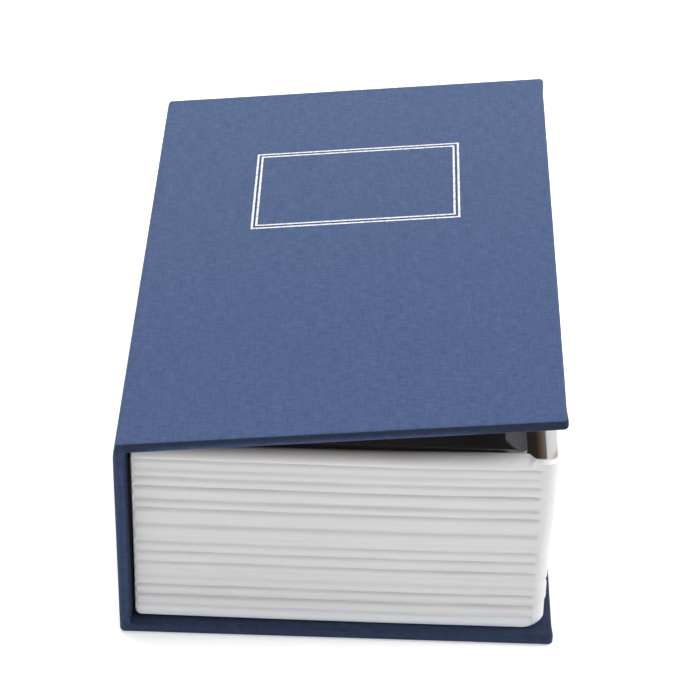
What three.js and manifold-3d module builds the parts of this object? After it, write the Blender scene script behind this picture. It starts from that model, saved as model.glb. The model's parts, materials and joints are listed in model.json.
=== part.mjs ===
// Book safe: a cloth bound book case around a ribbed page block that hides a steel cash box.
// Millimetres, +Z up. X runs from the spine to the fore edge, Y from the tail to the head.
// Every piece is drawn as it sits in the closed book, whose spine, tail and underside meet at the
// origin. The front cover and the lid are then turned open in groups about their hinge lines.

import * as THREE from "three";
import { mergeVertices } from "three/addons/utils/BufferGeometryUtils.js";
import Module from "manifold-3d";

const wasm = await Module();
wasm.setup();

// Closed book

const bookWidth = 115; // spine to fore edge
const bookHeight = 180; // tail to head
const bookThickness = 61.6; // over both covers
const coverAjarDegrees = 5.94; // the front cover stands this far open
const lidTurnShare = 0.6; // the lid turns this share of the cover's turn

// Case: boards, the cloth over them and the paper inside

const boardThickness = 2;
const clothThickness = 0.4;
const paperThickness = 0.2;
const glueLine = 0.1; // clearance between glued layers
const turnInWidth = 15; // cloth folded over onto the inside of the boards
const liningInset = 5; // paper lining, back from the edges of the boards
const liningFit = 0.3; // clearance round the part of the lining that lies between the turn-ins
const edgeRounding = 0.7; // cloth over the edges of the boards
const cornerRounding = 1.4; // corners of the covers, seen from above
const foldRounding = 1.2; // outside corner where a cover meets the spine
const hingeSetback = 0.25; // mitre of the front cover and of the spine, back from the hinge line
const foldSetback = 0.12; // mitre of the back cover and of the spine, back from their fold

// Page block: one ribbed moulded shell, open at the top

const shellSpineGap = 1; // spine to shell
const shellForeSquare = 2.1; // covers past the shell at the fore edge
const shellTailSquare = 3.7; // covers past the shell at the tail and at the head
const shellCoverGap = 0.1; // shell to the closed cover's lining
const shellSpineWall = 2.4;
const shellForeWall = 2.5;
const shellTailWall = 3; // the head wall is the same
const shellFloor = 1.8;
const shellForeCorner = 3.2; // upright corners at the fore edge
const shellSpineCorner = 1; // upright corners at the spine
const shellForeFoot = 4; // rounding under the fore edge
const shellSideFoot = 1.2; // rounding under the spine side, the tail and the head
const ribMargin = 3.4; // smooth band beside each upright corner at the fore edge
const ribDepth = 0.6; // deepest groove
const ribRise = 0.45; // height of a groove's upper flank, which faces down
const ribFall = 1.5; // height of a groove's lower flank, which faces up
const ledgeDepth = 1.2; // step down in the rim of the fore wall
const ledgeLip = 0.7; // lip left outside that step
const ledgeCorner = 1.7; // rounded ends of the step
const reliefDepth = 3; // pocket in the tail and head walls beside the fore wall
const reliefWall = 0.8; // wall left outside that pocket
const reliefLength = 4.9; // along the wall, from the inside of the fore wall
const reliefSlope = 2.3; // run of the curve that leads into it
const bossHeight = 3.5; // the box stands on four bosses
const bossRadius = 4;
const bossInset = 9; // boss, in from the outside of the box
const bossFloor = 0.8; // floor left under a screw bore

// Heights of the grooves between the shell's foot and its rim, and how deep each one is cut
const grooveHeightShares = [
  0.047, 0.116, 0.175, 0.225, 0.276, 0.317, 0.38, 0.435, 0.472, 0.54, 0.636, 0.691, 0.768, 0.823,
  0.874, 0.923,
];
const grooveDepthShares = [
  1, 1, 0.6, 0.7, 0.55, 0.5, 0.8, 0.5, 0.7, 0.85, 1, 0.7, 1, 0.6, 0.5, 0.9,
];

// Steel box: one folded tray with an inward flange along its fore edge

const sheetThickness = 0.8;
const boxSpineGap = 2.15; // shell wall to box
const boxForeGap = 4.9;
const boxTailGap = 2.1; // the head gap is the same
const boxCorner = 1.4; // upright folds, outside
const boxSeat = 0.1; // clearance on the bosses
const flangeWidth = 5.4;
const flangeClipLength = 5.2; // slanted ends of the flange
const flangeClipWidth = 3.2;

// Box hinge: rolled knuckles on the box and on the lid around one pin

const pinRadius = 1;
const pinFit = 0.1; // clearance between the pin and a knuckle
const pinEnd = 1.2; // pin past the outer knuckles
const knuckleCount = 5;
const knuckleLength = 20;
const knuckleGap = 0.5; // between neighbouring knuckles, and from a knuckle to the other leaf
const curlDegrees = 240; // how far each knuckle is rolled round the pin

// Lid

const lidRecess = 0.2; // closed lid below the shell's rim
const lidSeat = 0.1; // clearance on the rim of the box
const lidInset = 0.4; // lid, in from the outside of the box
const lidCorner = 2;
const dishDepth = 2; // pressed dish round the lock
const dishRadius = 10; // flat floor of the dish
const dishSlope = 2.2; // run of the dish's side

// Cam lock in the lid

const lockReach = 12.6; // lock's axis to the flange's edge
const bezelRadius = 7.5;
const bezelHeight = 1.8;
const bezelChamfer = 0.5;
const barrelRadius = 6;
const barrelLength = 8; // below the bezel
const barrelFlatHalf = 5.2; // the two flats that keep the barrel from turning
const barrelFit = 0.2; // clearance in the lid's hole
const threadFit = 0.15; // clearance of a nut, a washer or a screw on its thread
const lockSeat = 0.1; // clearance between pieces that are clamped together
const washerRadius = 8;
const washerThickness = 0.6;
const nutAcrossFlats = 16;
const nutHeight = 2.5;

const plugRadius = 4;
const plugHeadRadius = 4.7;
const plugHeadHeight = 1.1;
const plugRecess = 0.2; // plug's face below the bezel
const plugFit = 0.1; // clearance in the barrel's bore
const keywayWidth = 1.2;
const keywayHeight = 5.6;
const keywayDepth = 7.4;
const tailWidth = 5; // square tail that drives the cam
const camTailFit = 0.2;

const waferCount = 4;
const waferPitch = 1.3;
const waferThickness = 0.6;
const waferWidth = 4.8;
const waferLength = 6;
const waferWindowWidth = 1.7;
const waferWindowLength = 4.4;
const waferFit = 0.15;
const firstWaferDepth = 1.2; // below the plug's head

const camThickness = 1.2;
const camHubRadius = 5.5;
const camWidth = 7;
const camGap = 0.3; // barrel to cam
const camFlangeGap = 0.6; // locked cam to the flange above it
const camKneeReach = 9.8; // where the cam starts to rise, clear of the nut
const camShelfReach = 12.6; // where it levels out below the flange
const camReach = 16;

// Screws

const camScrewRadius = 1.5;
const camScrewLength = 3.4;
const camScrewHeadRadius = 3.2;
const camScrewHeadHeight = 1.6;
const boxScrewRadius = 1.3;
const boxScrewLength = 3.6; // below the box's floor
const boxScrewHeadRadius = 2.8;
const boxScrewHeadHeight = 1.5;
const screwHoleFit = 0.3;
const screwSeat = 0.1; // clearance under a screw's head
const recessWidth = 0.8; // cross recess in a screw's head
const recessShare = 0.62; // its length, as a share of the head's diameter
const recessDepthShare = 0.6; // its depth, as a share of the head's height
const domeShare = 0.33; // rounded part of a screw's head, as a share of its height

// Drawing

const overrun = 5; // how far cutters run past what they cut
const roundSides = 48;
const smallRoundSides = 24;
const nutSides = 6;
const arcSteps = 5; // flats in a quarter turn
const radians = THREE.MathUtils.degToRad;

// Levels and faces that several pieces share, in the closed book

const coverThickness = boardThickness + 2 * (clothThickness + glueLine);
const liningThickness = glueLine + paperThickness;
const shell = {
  left: coverThickness + shellSpineGap,
  right: bookWidth - shellForeSquare,
  tail: shellTailSquare,
  head: bookHeight - shellTailSquare,
  foot: coverThickness + liningThickness + glueLine,
  rim: bookThickness - coverThickness - liningThickness - shellCoverGap,
};
shell.height = shell.rim - shell.foot;
shell.floorTop = shell.foot + shellFloor;
shell.innerLeft = shell.left + shellSpineWall;
shell.innerRight = shell.right - shellForeWall;
shell.innerTail = shell.tail + shellTailWall;
shell.innerHead = shell.head - shellTailWall;

const lidTop = shell.rim - lidRecess;
const lidUnderside = lidTop - sheetThickness;
const box = {
  left: shell.innerLeft + boxSpineGap,
  right: shell.innerRight - boxForeGap,
  tail: shell.innerTail + boxTailGap,
  head: shell.innerHead - boxTailGap,
  bottom: shell.floorTop + bossHeight + boxSeat,
  top: lidUnderside - lidSeat,
};
box.floorTop = box.bottom + sheetThickness;
box.flangeEdge = box.right - flangeWidth;

const knuckleInner = pinRadius + pinFit;
const knuckleOuter = knuckleInner + sheetThickness;
const pin = { x: box.left + knuckleOuter, z: lidTop - knuckleOuter };
const middle = bookHeight / 2;
const lock = { x: box.flangeEdge - lockReach, y: middle };
const dishTop = lidTop - dishDepth;
const dishUnderside = dishTop - sheetThickness;
const barrelEnd = dishTop - barrelLength;

// Solids from closed geometries, and back

function solidOf(geometry) {
  const bare = geometry.clone();
  bare.deleteAttribute("normal");
  bare.deleteAttribute("uv");
  const welded = mergeVertices(bare);
  return new wasm.Manifold(
    new wasm.Mesh({
      numProp: 3,
      vertProperties: welded.attributes.position.array,
      triVerts: new Uint32Array(welded.index.array),
    }),
  );
}

function geometryOf(solid) {
  const { vertProperties, triVerts } = solid.getMesh();
  const geometry = new THREE.BufferGeometry();
  geometry.setAttribute("position", new THREE.BufferAttribute(vertProperties, 3));
  geometry.setIndex(new THREE.BufferAttribute(triVerts, 1));
  const faceted = geometry.toNonIndexed();
  faceted.computeVertexNormals();
  return faceted;
}

const joined = (first, ...others) => others.reduce((whole, other) => whole.add(other), first);
const without = (first, ...cutters) => cutters.reduce((rest, cutter) => rest.subtract(cutter), first);
const shared = (first, ...others) => others.reduce((rest, other) => rest.intersect(other), first);

// Outlines: lists of points, with round stretches worked out

function arc(centreX, centreY, radius, fromDegrees, toDegrees) {
  const steps = Math.max(2, Math.ceil((Math.abs(toDegrees - fromDegrees) / 90) * arcSteps));
  return Array.from({ length: steps + 1 }, (_, step) => {
    const angle = radians(THREE.MathUtils.lerp(fromDegrees, toDegrees, step / steps));
    return [centreX + radius * Math.cos(angle), centreY + radius * Math.sin(angle)];
  });
}

// A rectangle whose corners have their own radii, from the low corner round to the left
function roundedRectangle(left, right, low, high, lowLeft, lowRight, highRight, highLeft) {
  const corner = (x, y, radius, fromDegrees) =>
    radius > 0 ? arc(x, y, radius, fromDegrees, fromDegrees + 90) : [[x, y]];
  return [
    ...corner(left + lowLeft, low + lowLeft, lowLeft, 180),
    ...corner(right - lowRight, low + lowRight, lowRight, 270),
    ...corner(right - highRight, high - highRight, highRight, 0),
    ...corner(left + highLeft, high - highLeft, highLeft, 90),
  ];
}

// Prisms: an outline drawn out along one axis

function extruded(outline, length) {
  const shape = new THREE.Shape(outline.map(([x, y]) => new THREE.Vector2(x, y)));
  return new THREE.ExtrudeGeometry(shape, { depth: length, bevelEnabled: false });
}

const alongZ = (outline, low, high) =>
  solidOf(extruded(outline, high - low).translate(0, 0, low));

const alongY = (outline, low, high) =>
  solidOf(extruded(outline, high - low).rotateX(Math.PI / 2).translate(0, high, 0));

function alongX(outline, low, high) {
  const turn = new THREE.Matrix4().makeBasis(
    new THREE.Vector3(0, 1, 0),
    new THREE.Vector3(0, 0, 1),
    new THREE.Vector3(1, 0, 0),
  );
  return solidOf(extruded(outline, high - low).applyMatrix4(turn).translate(low, 0, 0));
}

function block(left, right, tail, head, low, high) {
  const geometry = new THREE.BoxGeometry(right - left, head - tail, high - low);
  return solidOf(geometry.translate((left + right) / 2, (tail + head) / 2, (low + high) / 2));
}

// A profile of [radius, height] points turned about an upright axis, from the axis round again
function turned(profile, x, y, sides = roundSides) {
  const points = profile.map(([radius, height]) => new THREE.Vector2(radius, height));
  const geometry = new THREE.LatheGeometry(points, sides);
  return solidOf(geometry.rotateX(Math.PI / 2).translate(x, y, 0));
}

const disc = (radius, x, y, low, high, sides) =>
  turned([[0, low], [radius, low], [radius, high], [0, high]], x, y, sides);

// Pieces

const finish = (color, roughness, metalness) =>
  new THREE.MeshStandardMaterial({ color, roughness, metalness });

function piece(name, solid, material) {
  const mesh = new THREE.Mesh(geometryOf(solid), material);
  mesh.name = name;
  return mesh;
}

const finishes = {
  cloth: () => finish(0x3f5582, 0.85, 0),
  board: () => finish(0x8f8a80, 0.95, 0),
  paper: () => finish(0x16181d, 0.8, 0),
  plastic: () => finish(0xd9dadc, 0.45, 0),
  blackSteel: () => finish(0x1b1c1f, 0.5, 0.5),
  greySteel: () => finish(0x6d6f73, 0.45, 0.7),
  zinc: () => finish(0xa9abad, 0.35, 0.9),
  chrome: () => finish(0xd0d2d4, 0.12, 1),
  brass: () => finish(0xb08d4a, 0.3, 1),
};

// Case panels: a board, its cloth and its lining share one section. A panel runs from a mitred
// edge at the spine's corner to its far edge. Its section is drawn as [run, depth] points, with
// depth counted inwards from the outside face, and `place` turns them into the piece's own plane.

function panelSection(inset, run, depth, mitredEnd) {
  const nearRadius = Math.max(0, foldRounding - inset);
  const farRadius = Math.max(0, (mitredEnd ? foldRounding : edgeRounding) - inset);
  const innerRadius = mitredEnd || inset > 0 ? 0 : edgeRounding;
  return roundedRectangle(
    inset, run - inset, inset, depth - inset, nearRadius, farRadius, innerRadius, 0,
  );
}

// Wedge beyond a mitre whose outer edge stands back from the corner of the book
const mitreWedge = (setback, depth) => [
  [setback - overrun, -overrun],
  [setback + depth + overrun, depth + overrun],
  [setback - overrun, depth + overrun],
];

function mirroredRun(outline, run) {
  return outline.map(([along, depth]) => [run - along, depth]);
}

function panelPrism(panel, outline, tail, head) {
  return alongY(outline.map(([run, depth]) => panel.place(run, depth)), tail, head);
}

function panelBlock(panel, fromRun, toRun, fromDepth, toDepth, tail, head) {
  const outline = [
    [fromRun, fromDepth],
    [toRun, fromDepth],
    [toRun, toDepth],
    [fromRun, toDepth],
  ];
  return panelPrism(panel, outline, tail, head);
}

// Everything of a panel that lies on the book's side of its mitres
function mitred(panel, solid) {
  const cuts = [mitreWedge(panel.nearSetback, coverThickness + liningThickness)];
  if (panel.farSetback !== undefined) {
    cuts.push(mirroredRun(mitreWedge(panel.farSetback, coverThickness + liningThickness), panel.run));
  }
  const cutters = cuts.map((cut) => panelPrism(panel, cut, -overrun, bookHeight + overrun));
  return without(solid, ...cutters);
}

function panelBoard(panel) {
  const inset = clothThickness + glueLine;
  const section = panelSection(inset, panel.run, coverThickness, panel.farSetback !== undefined);
  return mitred(panel, panelPrism(panel, section, inset, bookHeight - inset));
}

// Cloth wraps the outside and the edges, and its turn-ins frame a window on the inside
function panelCloth(panel) {
  const twoMitres = panel.farSetback !== undefined;
  const outside = panelPrism(
    panel,
    panelSection(0, panel.run, coverThickness, twoMitres),
    0,
    bookHeight,
  );
  const pocketEnd = twoMitres ? panel.run + overrun : panel.run - clothThickness;
  const windowEnd = twoMitres ? panel.run + overrun : panel.run - turnInWidth;
  const pocket = panelBlock(
    panel, -overrun, pocketEnd, clothThickness, coverThickness - clothThickness,
    clothThickness, bookHeight - clothThickness,
  );
  const window = panelBlock(
    panel, -overrun, windowEnd, boardThickness, coverThickness + overrun,
    turnInWidth, bookHeight - turnInWidth,
  );
  return mitred(panel, without(shared(outside, panel.softEdges()), pocket, window));
}

// Paper lining glued over the turn-ins, and onto the board between them
function panelLining(panel) {
  const twoMitres = panel.farSetback !== undefined;
  const sheetTop = coverThickness + liningThickness;
  const sheetStart = liningInset + coverThickness;
  const sheetEnd = twoMitres ? panel.run - sheetStart : panel.run - liningInset;
  const sheet = panelBlock(
    panel, sheetStart, sheetEnd, coverThickness + glueLine, sheetTop,
    liningInset, bookHeight - liningInset,
  );
  const fillEnd = twoMitres ? sheetEnd : panel.run - turnInWidth - liningFit;
  const fillEdge = turnInWidth + liningFit;
  const fill = panelBlock(
    panel, sheetStart, fillEnd, coverThickness - clothThickness, sheetTop,
    fillEdge, bookHeight - fillEdge,
  );
  return joined(sheet, fill);
}

// The covers' tail, head and fore edges are rounded over, and so are their corners from above
function coverSoftEdges(low, high, roundLow, roundHigh) {
  const fromSide = roundedRectangle(
    0, bookHeight, low, high, roundLow, roundLow, roundHigh, roundHigh,
  );
  const fromAbove = roundedRectangle(
    -overrun, bookWidth, 0, bookHeight, 0, cornerRounding, cornerRounding, 0,
  );
  return shared(
    alongX(fromSide, -overrun, bookWidth + overrun),
    alongZ(fromAbove, low - overrun, high + overrun),
  );
}

const frontPanel = {
  run: bookWidth,
  nearSetback: hingeSetback,
  place: (run, depth) => [run, bookThickness - depth],
  softEdges: () =>
    coverSoftEdges(bookThickness - coverThickness, bookThickness, edgeRounding, edgeRounding),
};

const backPanel = {
  run: bookWidth,
  nearSetback: foldSetback,
  place: (run, depth) => [run, depth],
  softEdges: () => coverSoftEdges(0, coverThickness, edgeRounding, edgeRounding),
};

const spinePanel = {
  run: bookThickness,
  nearSetback: foldSetback,
  farSetback: hingeSetback,
  place: (run, depth) => [depth, run],
  softEdges: () =>
    alongZ(
      roundedRectangle(
        0, coverThickness, 0, bookHeight, edgeRounding, edgeRounding, edgeRounding, edgeRounding,
      ),
      -overrun,
      bookThickness + overrun,
    ),
};

// Page block

const grooveSection = (height, depth) => [
  [-depth, height],
  [0, height + ribRise],
  [overrun, height + ribRise],
  [overrun, height - ribFall * (depth / ribDepth)],
  [0, height - ribFall * (depth / ribDepth)],
];

function shellGrooves() {
  const foreEnd = shell.right - ribMargin;
  return grooveHeightShares.flatMap((share, index) => {
    const height = shell.foot + share * shell.height;
    const section = grooveSection(height, ribDepth * grooveDepthShares[index]);
    const tailSection = section.map(([out, up]) => [shell.tail - out, up]);
    const headSection = section.map(([out, up]) => [shell.head + out, up]);
    const foreSection = section.map(([out, up]) => [shell.right + out, up]);
    return [
      alongX(tailSection, shell.left - overrun, foreEnd),
      alongX(headSection, shell.left - overrun, foreEnd),
      alongY(foreSection, shell.tail + ribMargin, shell.head - ribMargin),
    ];
  });
}

function shellOutside() {
  const fromAbove = roundedRectangle(
    shell.left, shell.right, shell.tail, shell.head,
    shellSpineCorner, shellForeCorner, shellForeCorner, shellSpineCorner,
  );
  const fromTail = roundedRectangle(
    shell.left, shell.right, shell.foot, shell.rim, shellSideFoot, shellForeFoot, 0, 0,
  );
  const fromFore = roundedRectangle(
    shell.tail, shell.head, shell.foot, shell.rim, shellSideFoot, shellSideFoot, 0, 0,
  );
  return shared(
    alongZ(fromAbove, shell.foot, shell.rim),
    alongY(fromTail, shell.tail, shell.head),
    alongX(fromFore, shell.left, shell.right),
  );
}

// Step along the rim of the fore wall, with rounded ends, seen from above
function ledgeOutline() {
  const tail = shell.tail + reliefWall;
  const head = shell.head - reliefWall;
  const far = shell.right - ledgeLip;
  const corner = Math.min(ledgeCorner, far - shell.innerRight);
  return roundedRectangle(shell.innerRight, far, tail, head, 0, corner, corner, 0);
}

// Pocket in the tail wall beside the fore wall, seen from above, with an S shaped way in
function reliefOutline() {
  const outer = shell.tail + reliefWall;
  const start = shell.innerRight - reliefLength;
  const halfRun = reliefSlope / 2;
  const halfRise = (shell.innerTail - outer) / 2;
  const bend = arc(0, 0, 1, 90, 0).map(([along, up]) => [along * halfRun, (up - 1) * halfRise]);
  const lower = bend.map(([along, up]) => [reliefSlope - along, -2 * halfRise - up]).reverse();
  return [
    ...bend.map(([along, up]) => [start + along, shell.innerTail + up]),
    ...lower.slice(1).map(([along, up]) => [start + along, shell.innerTail + up]),
    [shell.innerRight, outer],
    [shell.innerRight, shell.innerTail + overrun],
    [start, shell.innerTail + overrun],
  ];
}

const mirroredHead = (outline) => outline.map(([x, y]) => [x, bookHeight - y]);

const bossPlaces = [
  [box.left + bossInset, box.tail + bossInset],
  [box.right - bossInset, box.tail + bossInset],
  [box.left + bossInset, box.head - bossInset],
  [box.right - bossInset, box.head - bossInset],
];

function pageShell() {
  const bossTop = shell.floorTop + bossHeight;
  const cavity = block(
    shell.innerLeft, shell.innerRight, shell.innerTail, shell.innerHead,
    shell.floorTop, shell.rim + overrun,
  );
  const ledge = alongZ(ledgeOutline(), shell.rim - ledgeDepth, shell.rim + overrun);
  const reliefs = [reliefOutline(), mirroredHead(reliefOutline())].map((outline) =>
    alongZ(outline, shell.rim - reliefDepth, shell.rim + overrun),
  );
  const bosses = bossPlaces.map(([x, y]) => disc(bossRadius, x, y, shell.floorTop - bossFloor, bossTop));
  const bores = bossPlaces.map(([x, y]) =>
    disc(boxScrewRadius + threadFit, x, y, shell.foot + bossFloor, bossTop + overrun, smallRoundSides),
  );
  const walls = without(shellOutside(), cavity, ledge, ...reliefs, ...shellGrooves());
  return without(joined(walls, ...bosses), ...bores);
}

// Box hinge

const hingeStart = middle - (knuckleCount * knuckleLength) / 2;

// Each knuckle's own stretch along the pin; the even ones belong to the box
const knuckles = Array.from({ length: knuckleCount }, (_, index) => ({
  tail: hingeStart + index * knuckleLength + knuckleGap / 2,
  head: hingeStart + (index + 1) * knuckleLength - knuckleGap / 2,
  onBox: index % 2 === 0,
}));

// Sheet that runs up the back of the box and rolls forward over the pin
const boxCurl = () => [
  [pin.x - knuckleOuter, box.bottom + sheetThickness],
  ...arc(pin.x, pin.z, knuckleOuter, 180, 180 - curlDegrees),
  ...arc(pin.x, pin.z, knuckleInner, 180 - curlDegrees, 180),
  [pin.x - knuckleInner, box.bottom + sheetThickness],
];

const lidBackEdge = pin.x + knuckleOuter + knuckleGap;

// Sheet that runs back along the top of the lid and rolls down round the pin
const lidCurl = () => [
  [lidBackEdge + knuckleGap, pin.z + knuckleOuter],
  ...arc(pin.x, pin.z, knuckleOuter, 90, 90 + curlDegrees),
  ...arc(pin.x, pin.z, knuckleInner, 90 + curlDegrees, 90),
  [lidBackEdge + knuckleGap, pin.z + knuckleInner],
];

// Steel box

function boxFlange() {
  const clipped = box.flangeEdge + flangeClipWidth;
  const tailClip = box.tail + flangeClipLength;
  const headClip = box.head - flangeClipLength;
  const inside = box.right - sheetThickness / 2;
  const outline = [
    [inside, box.tail + sheetThickness / 2],
    [inside, box.head - sheetThickness / 2],
    [clipped, box.head - sheetThickness / 2],
    [box.flangeEdge, headClip],
    [box.flangeEdge, tailClip],
    [clipped, box.tail + sheetThickness / 2],
  ];
  return alongZ(outline, box.top - sheetThickness, box.top);
}

function safeBox() {
  const innerCorner = boxCorner - sheetThickness;
  const outside = roundedRectangle(
    box.left, box.right, box.tail, box.head, boxCorner, boxCorner, boxCorner, boxCorner,
  );
  const inside = roundedRectangle(
    box.left + sheetThickness, box.right - sheetThickness,
    box.tail + sheetThickness, box.head - sheetThickness,
    innerCorner, innerCorner, innerCorner, innerCorner,
  );
  const tray = without(
    alongZ(outside, box.bottom, box.top),
    alongZ(inside, box.floorTop, box.top + overrun),
  );
  const hingeLength = knuckleCount * knuckleLength;
  const hingeCut = block(
    box.left - overrun, box.left + sheetThickness + overrun,
    hingeStart - knuckleGap, hingeStart + hingeLength + knuckleGap,
    pin.z - knuckleOuter - knuckleGap, box.top + overrun,
  );
  const curls = knuckles
    .filter((knuckle) => knuckle.onBox)
    .map((knuckle) => alongY(boxCurl(), knuckle.tail, knuckle.head));
  const screwHoles = bossPlaces.map(([x, y]) =>
    disc(
      boxScrewRadius + screwHoleFit, x, y, box.bottom - overrun, box.floorTop + overrun,
      smallRoundSides,
    ),
  );
  return without(joined(without(tray, hingeCut), boxFlange(), ...curls), ...screwHoles);
}

function hingePin() {
  const length = knuckleCount * knuckleLength + 2 * pinEnd;
  const bar = new THREE.CylinderGeometry(pinRadius, pinRadius, length, smallRoundSides);
  return solidOf(bar.translate(pin.x, middle, pin.z));
}

// Round screw with a cross recess, its head up and its shank down from the seat
function screw(x, y, seat, radius, length, headRadius, headHeight) {
  const top = seat + headHeight;
  const dome = headHeight * domeShare;
  const body = turned(
    [
      [0, seat - length],
      [radius / 2, seat - length],
      [radius, seat - length + radius / 2],
      [radius, seat],
      [headRadius, seat],
      [headRadius, top - dome],
      [headRadius - dome, top],
      [0, top],
    ],
    x, y, smallRoundSides,
  );
  const reach = headRadius * recessShare;
  const low = top - headHeight * recessDepthShare;
  const half = recessWidth / 2;
  return without(
    body,
    block(x - reach, x + reach, y - half, y + half, low, top + overrun),
    block(x - half, x + half, y - reach, y + reach, low, top + overrun),
  );
}

// Lid

function safeLid() {
  const plate = alongZ(
    roundedRectangle(
      lidBackEdge, box.right - lidInset, box.tail + lidInset, box.head - lidInset,
      lidCorner, lidCorner, lidCorner, lidCorner,
    ),
    lidUnderside,
    lidTop,
  );
  const curls = knuckles
    .filter((knuckle) => !knuckle.onBox)
    .map((knuckle) => alongY(lidCurl(), knuckle.tail, knuckle.head));
  const dishOuter = dishRadius + dishSlope;
  const hole = disc(dishOuter, lock.x, lock.y, lidUnderside - overrun, lidTop + overrun);
  const dish = turned(
    [
      [0, dishUnderside],
      [dishRadius, dishUnderside],
      [dishOuter + sheetThickness / 2, lidUnderside],
      [dishOuter + sheetThickness, lidUnderside],
      [dishOuter + sheetThickness, lidTop],
      [dishOuter, lidTop],
      [dishRadius - sheetThickness / 2, dishTop],
      [0, dishTop],
    ],
    lock.x, lock.y,
  );
  const barrelHole = barrelSection(barrelFit, dishUnderside - overrun, dishTop + overrun);
  return without(joined(without(plate, hole), dish, ...curls), barrelHole);
}

// Cam lock

// Round bar with the barrel's two flats, larger all round by the clearance
function barrelSection(fit, low, high) {
  const half = barrelFlatHalf + fit;
  const reach = barrelRadius + fit + overrun;
  return shared(
    disc(barrelRadius + fit, lock.x, lock.y, low, high),
    block(lock.x - reach, lock.x + reach, lock.y - half, lock.y + half, low, high),
  );
}

function lockBody() {
  const bezelTop = dishTop + lockSeat + bezelHeight;
  const bezel = turned(
    [
      [0, dishTop + lockSeat],
      [bezelRadius, dishTop + lockSeat],
      [bezelRadius, bezelTop - bezelChamfer],
      [bezelRadius - bezelChamfer, bezelTop],
      [0, bezelTop],
    ],
    lock.x, lock.y,
  );
  const barrel = barrelSection(0, barrelEnd, dishTop + bezelHeight / 2);
  const bore = disc(plugRadius + plugFit, lock.x, lock.y, barrelEnd - overrun, bezelTop + overrun);
  const headBore = disc(
    plugHeadRadius + plugFit, lock.x, lock.y,
    bezelTop - plugRecess - plugHeadHeight - plugFit, bezelTop + overrun,
  );
  return without(joined(bezel, barrel), bore, headBore);
}

function lockWasher() {
  const top = dishUnderside - lockSeat;
  return without(
    disc(washerRadius, lock.x, lock.y, top - washerThickness, top),
    barrelSection(barrelFit, top - overrun, top + overrun),
  );
}

function lockNut() {
  const top = dishUnderside - 2 * lockSeat - washerThickness;
  const cornerRadius = nutAcrossFlats / 2 / Math.cos(Math.PI / nutSides);
  return without(
    disc(cornerRadius, lock.x, lock.y, top - nutHeight, top, nutSides),
    disc(barrelRadius + threadFit, lock.x, lock.y, top - nutHeight - overrun, top + overrun),
  );
}

const plugFace = dishTop + lockSeat + bezelHeight - plugRecess;
const camTop = barrelEnd - camGap;
const camBottom = camTop - camThickness;
const tailEnd = camBottom + screwSeat;
const waferTop = (index) => plugFace - plugHeadHeight - firstWaferDepth - index * waferPitch;

// Block about the lock's axis
function lockBlock(halfX, halfY, low, high) {
  return block(lock.x - halfX, lock.x + halfX, lock.y - halfY, lock.y + halfY, low, high);
}

function lockPlug() {
  const headFoot = plugFace - plugHeadHeight;
  const body = turned(
    [
      [0, camTop],
      [plugRadius, camTop],
      [plugRadius, headFoot],
      [plugHeadRadius, headFoot],
      [plugHeadRadius, plugFace],
      [0, plugFace],
    ],
    lock.x, lock.y,
  );
  const tail = lockBlock(tailWidth / 2, tailWidth / 2, tailEnd, camTop + camGap);
  const keyway = lockBlock(keywayWidth / 2, keywayHeight / 2, plugFace - keywayDepth, plugFace + overrun);
  const slots = Array.from({ length: waferCount }, (_, index) =>
    lockBlock(
      waferWidth / 2 + waferFit, plugRadius + overrun,
      waferTop(index) - waferThickness - waferFit, waferTop(index) + waferFit,
    ),
  );
  const bore = disc(
    camScrewRadius + threadFit, lock.x, lock.y,
    tailEnd - overrun, tailEnd + camScrewLength, smallRoundSides,
  );
  return without(joined(body, tail), keyway, ...slots, bore);
}

function lockWafer(index) {
  const high = waferTop(index);
  const low = high - waferThickness;
  return without(
    lockBlock(waferWidth / 2, waferLength / 2, low, high),
    lockBlock(waferWindowWidth / 2, waferWindowLength / 2, low - overrun, high + overrun),
  );
}

// Cranked cam, drawn locked: it runs under the nut, rises clear of it and reaches under the flange
function lockCam() {
  const tipTop = box.top - sheetThickness - camFlangeGap;
  const tipBottom = tipTop - camThickness;
  const section = [
    [-camHubRadius, camBottom],
    [camKneeReach, camBottom],
    [camShelfReach, tipBottom],
    [camReach, tipBottom],
    [camReach, tipTop],
    [camShelfReach - camThickness, tipTop],
    [camKneeReach - camThickness, camTop],
    [-camHubRadius, camTop],
  ].map(([reach, up]) => [lock.x + reach, up]);
  const half = camWidth / 2;
  const arm = roundedRectangle(
    lock.x, lock.x + camReach, lock.y - half, lock.y + half, 0, half / 2, half / 2, 0,
  );
  const fromAbove = joined(
    disc(camHubRadius, lock.x, lock.y, camBottom - overrun, tipTop + overrun),
    alongZ(arm, camBottom - overrun, tipTop + overrun),
  );
  const bar = alongY(section, lock.y - camHubRadius, lock.y + camHubRadius);
  const hole = tailWidth / 2 + camTailFit;
  return without(shared(bar, fromAbove), lockBlock(hole, hole, camBottom - overrun, camTop + overrun));
}

// Cam screw: it hangs head down, so a screw is drawn head up and turned over
function camScrew() {
  const upright = geometryOf(
    screw(0, 0, 0, camScrewRadius, camScrewLength - screwSeat, camScrewHeadRadius, camScrewHeadHeight),
  );
  return solidOf(upright.rotateX(Math.PI).translate(lock.x, lock.y, camBottom - screwSeat));
}

// Assembly: groups turn about their hinge lines, and each piece keeps its closed place inside them

function turningGroup(x, y, z, ...pieces) {
  const group = new THREE.Group();
  group.position.set(x, y, z);
  for (const part of pieces) {
    part.position.add(new THREE.Vector3(-x, -y, -z));
    group.add(part);
  }
  return group;
}

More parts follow.
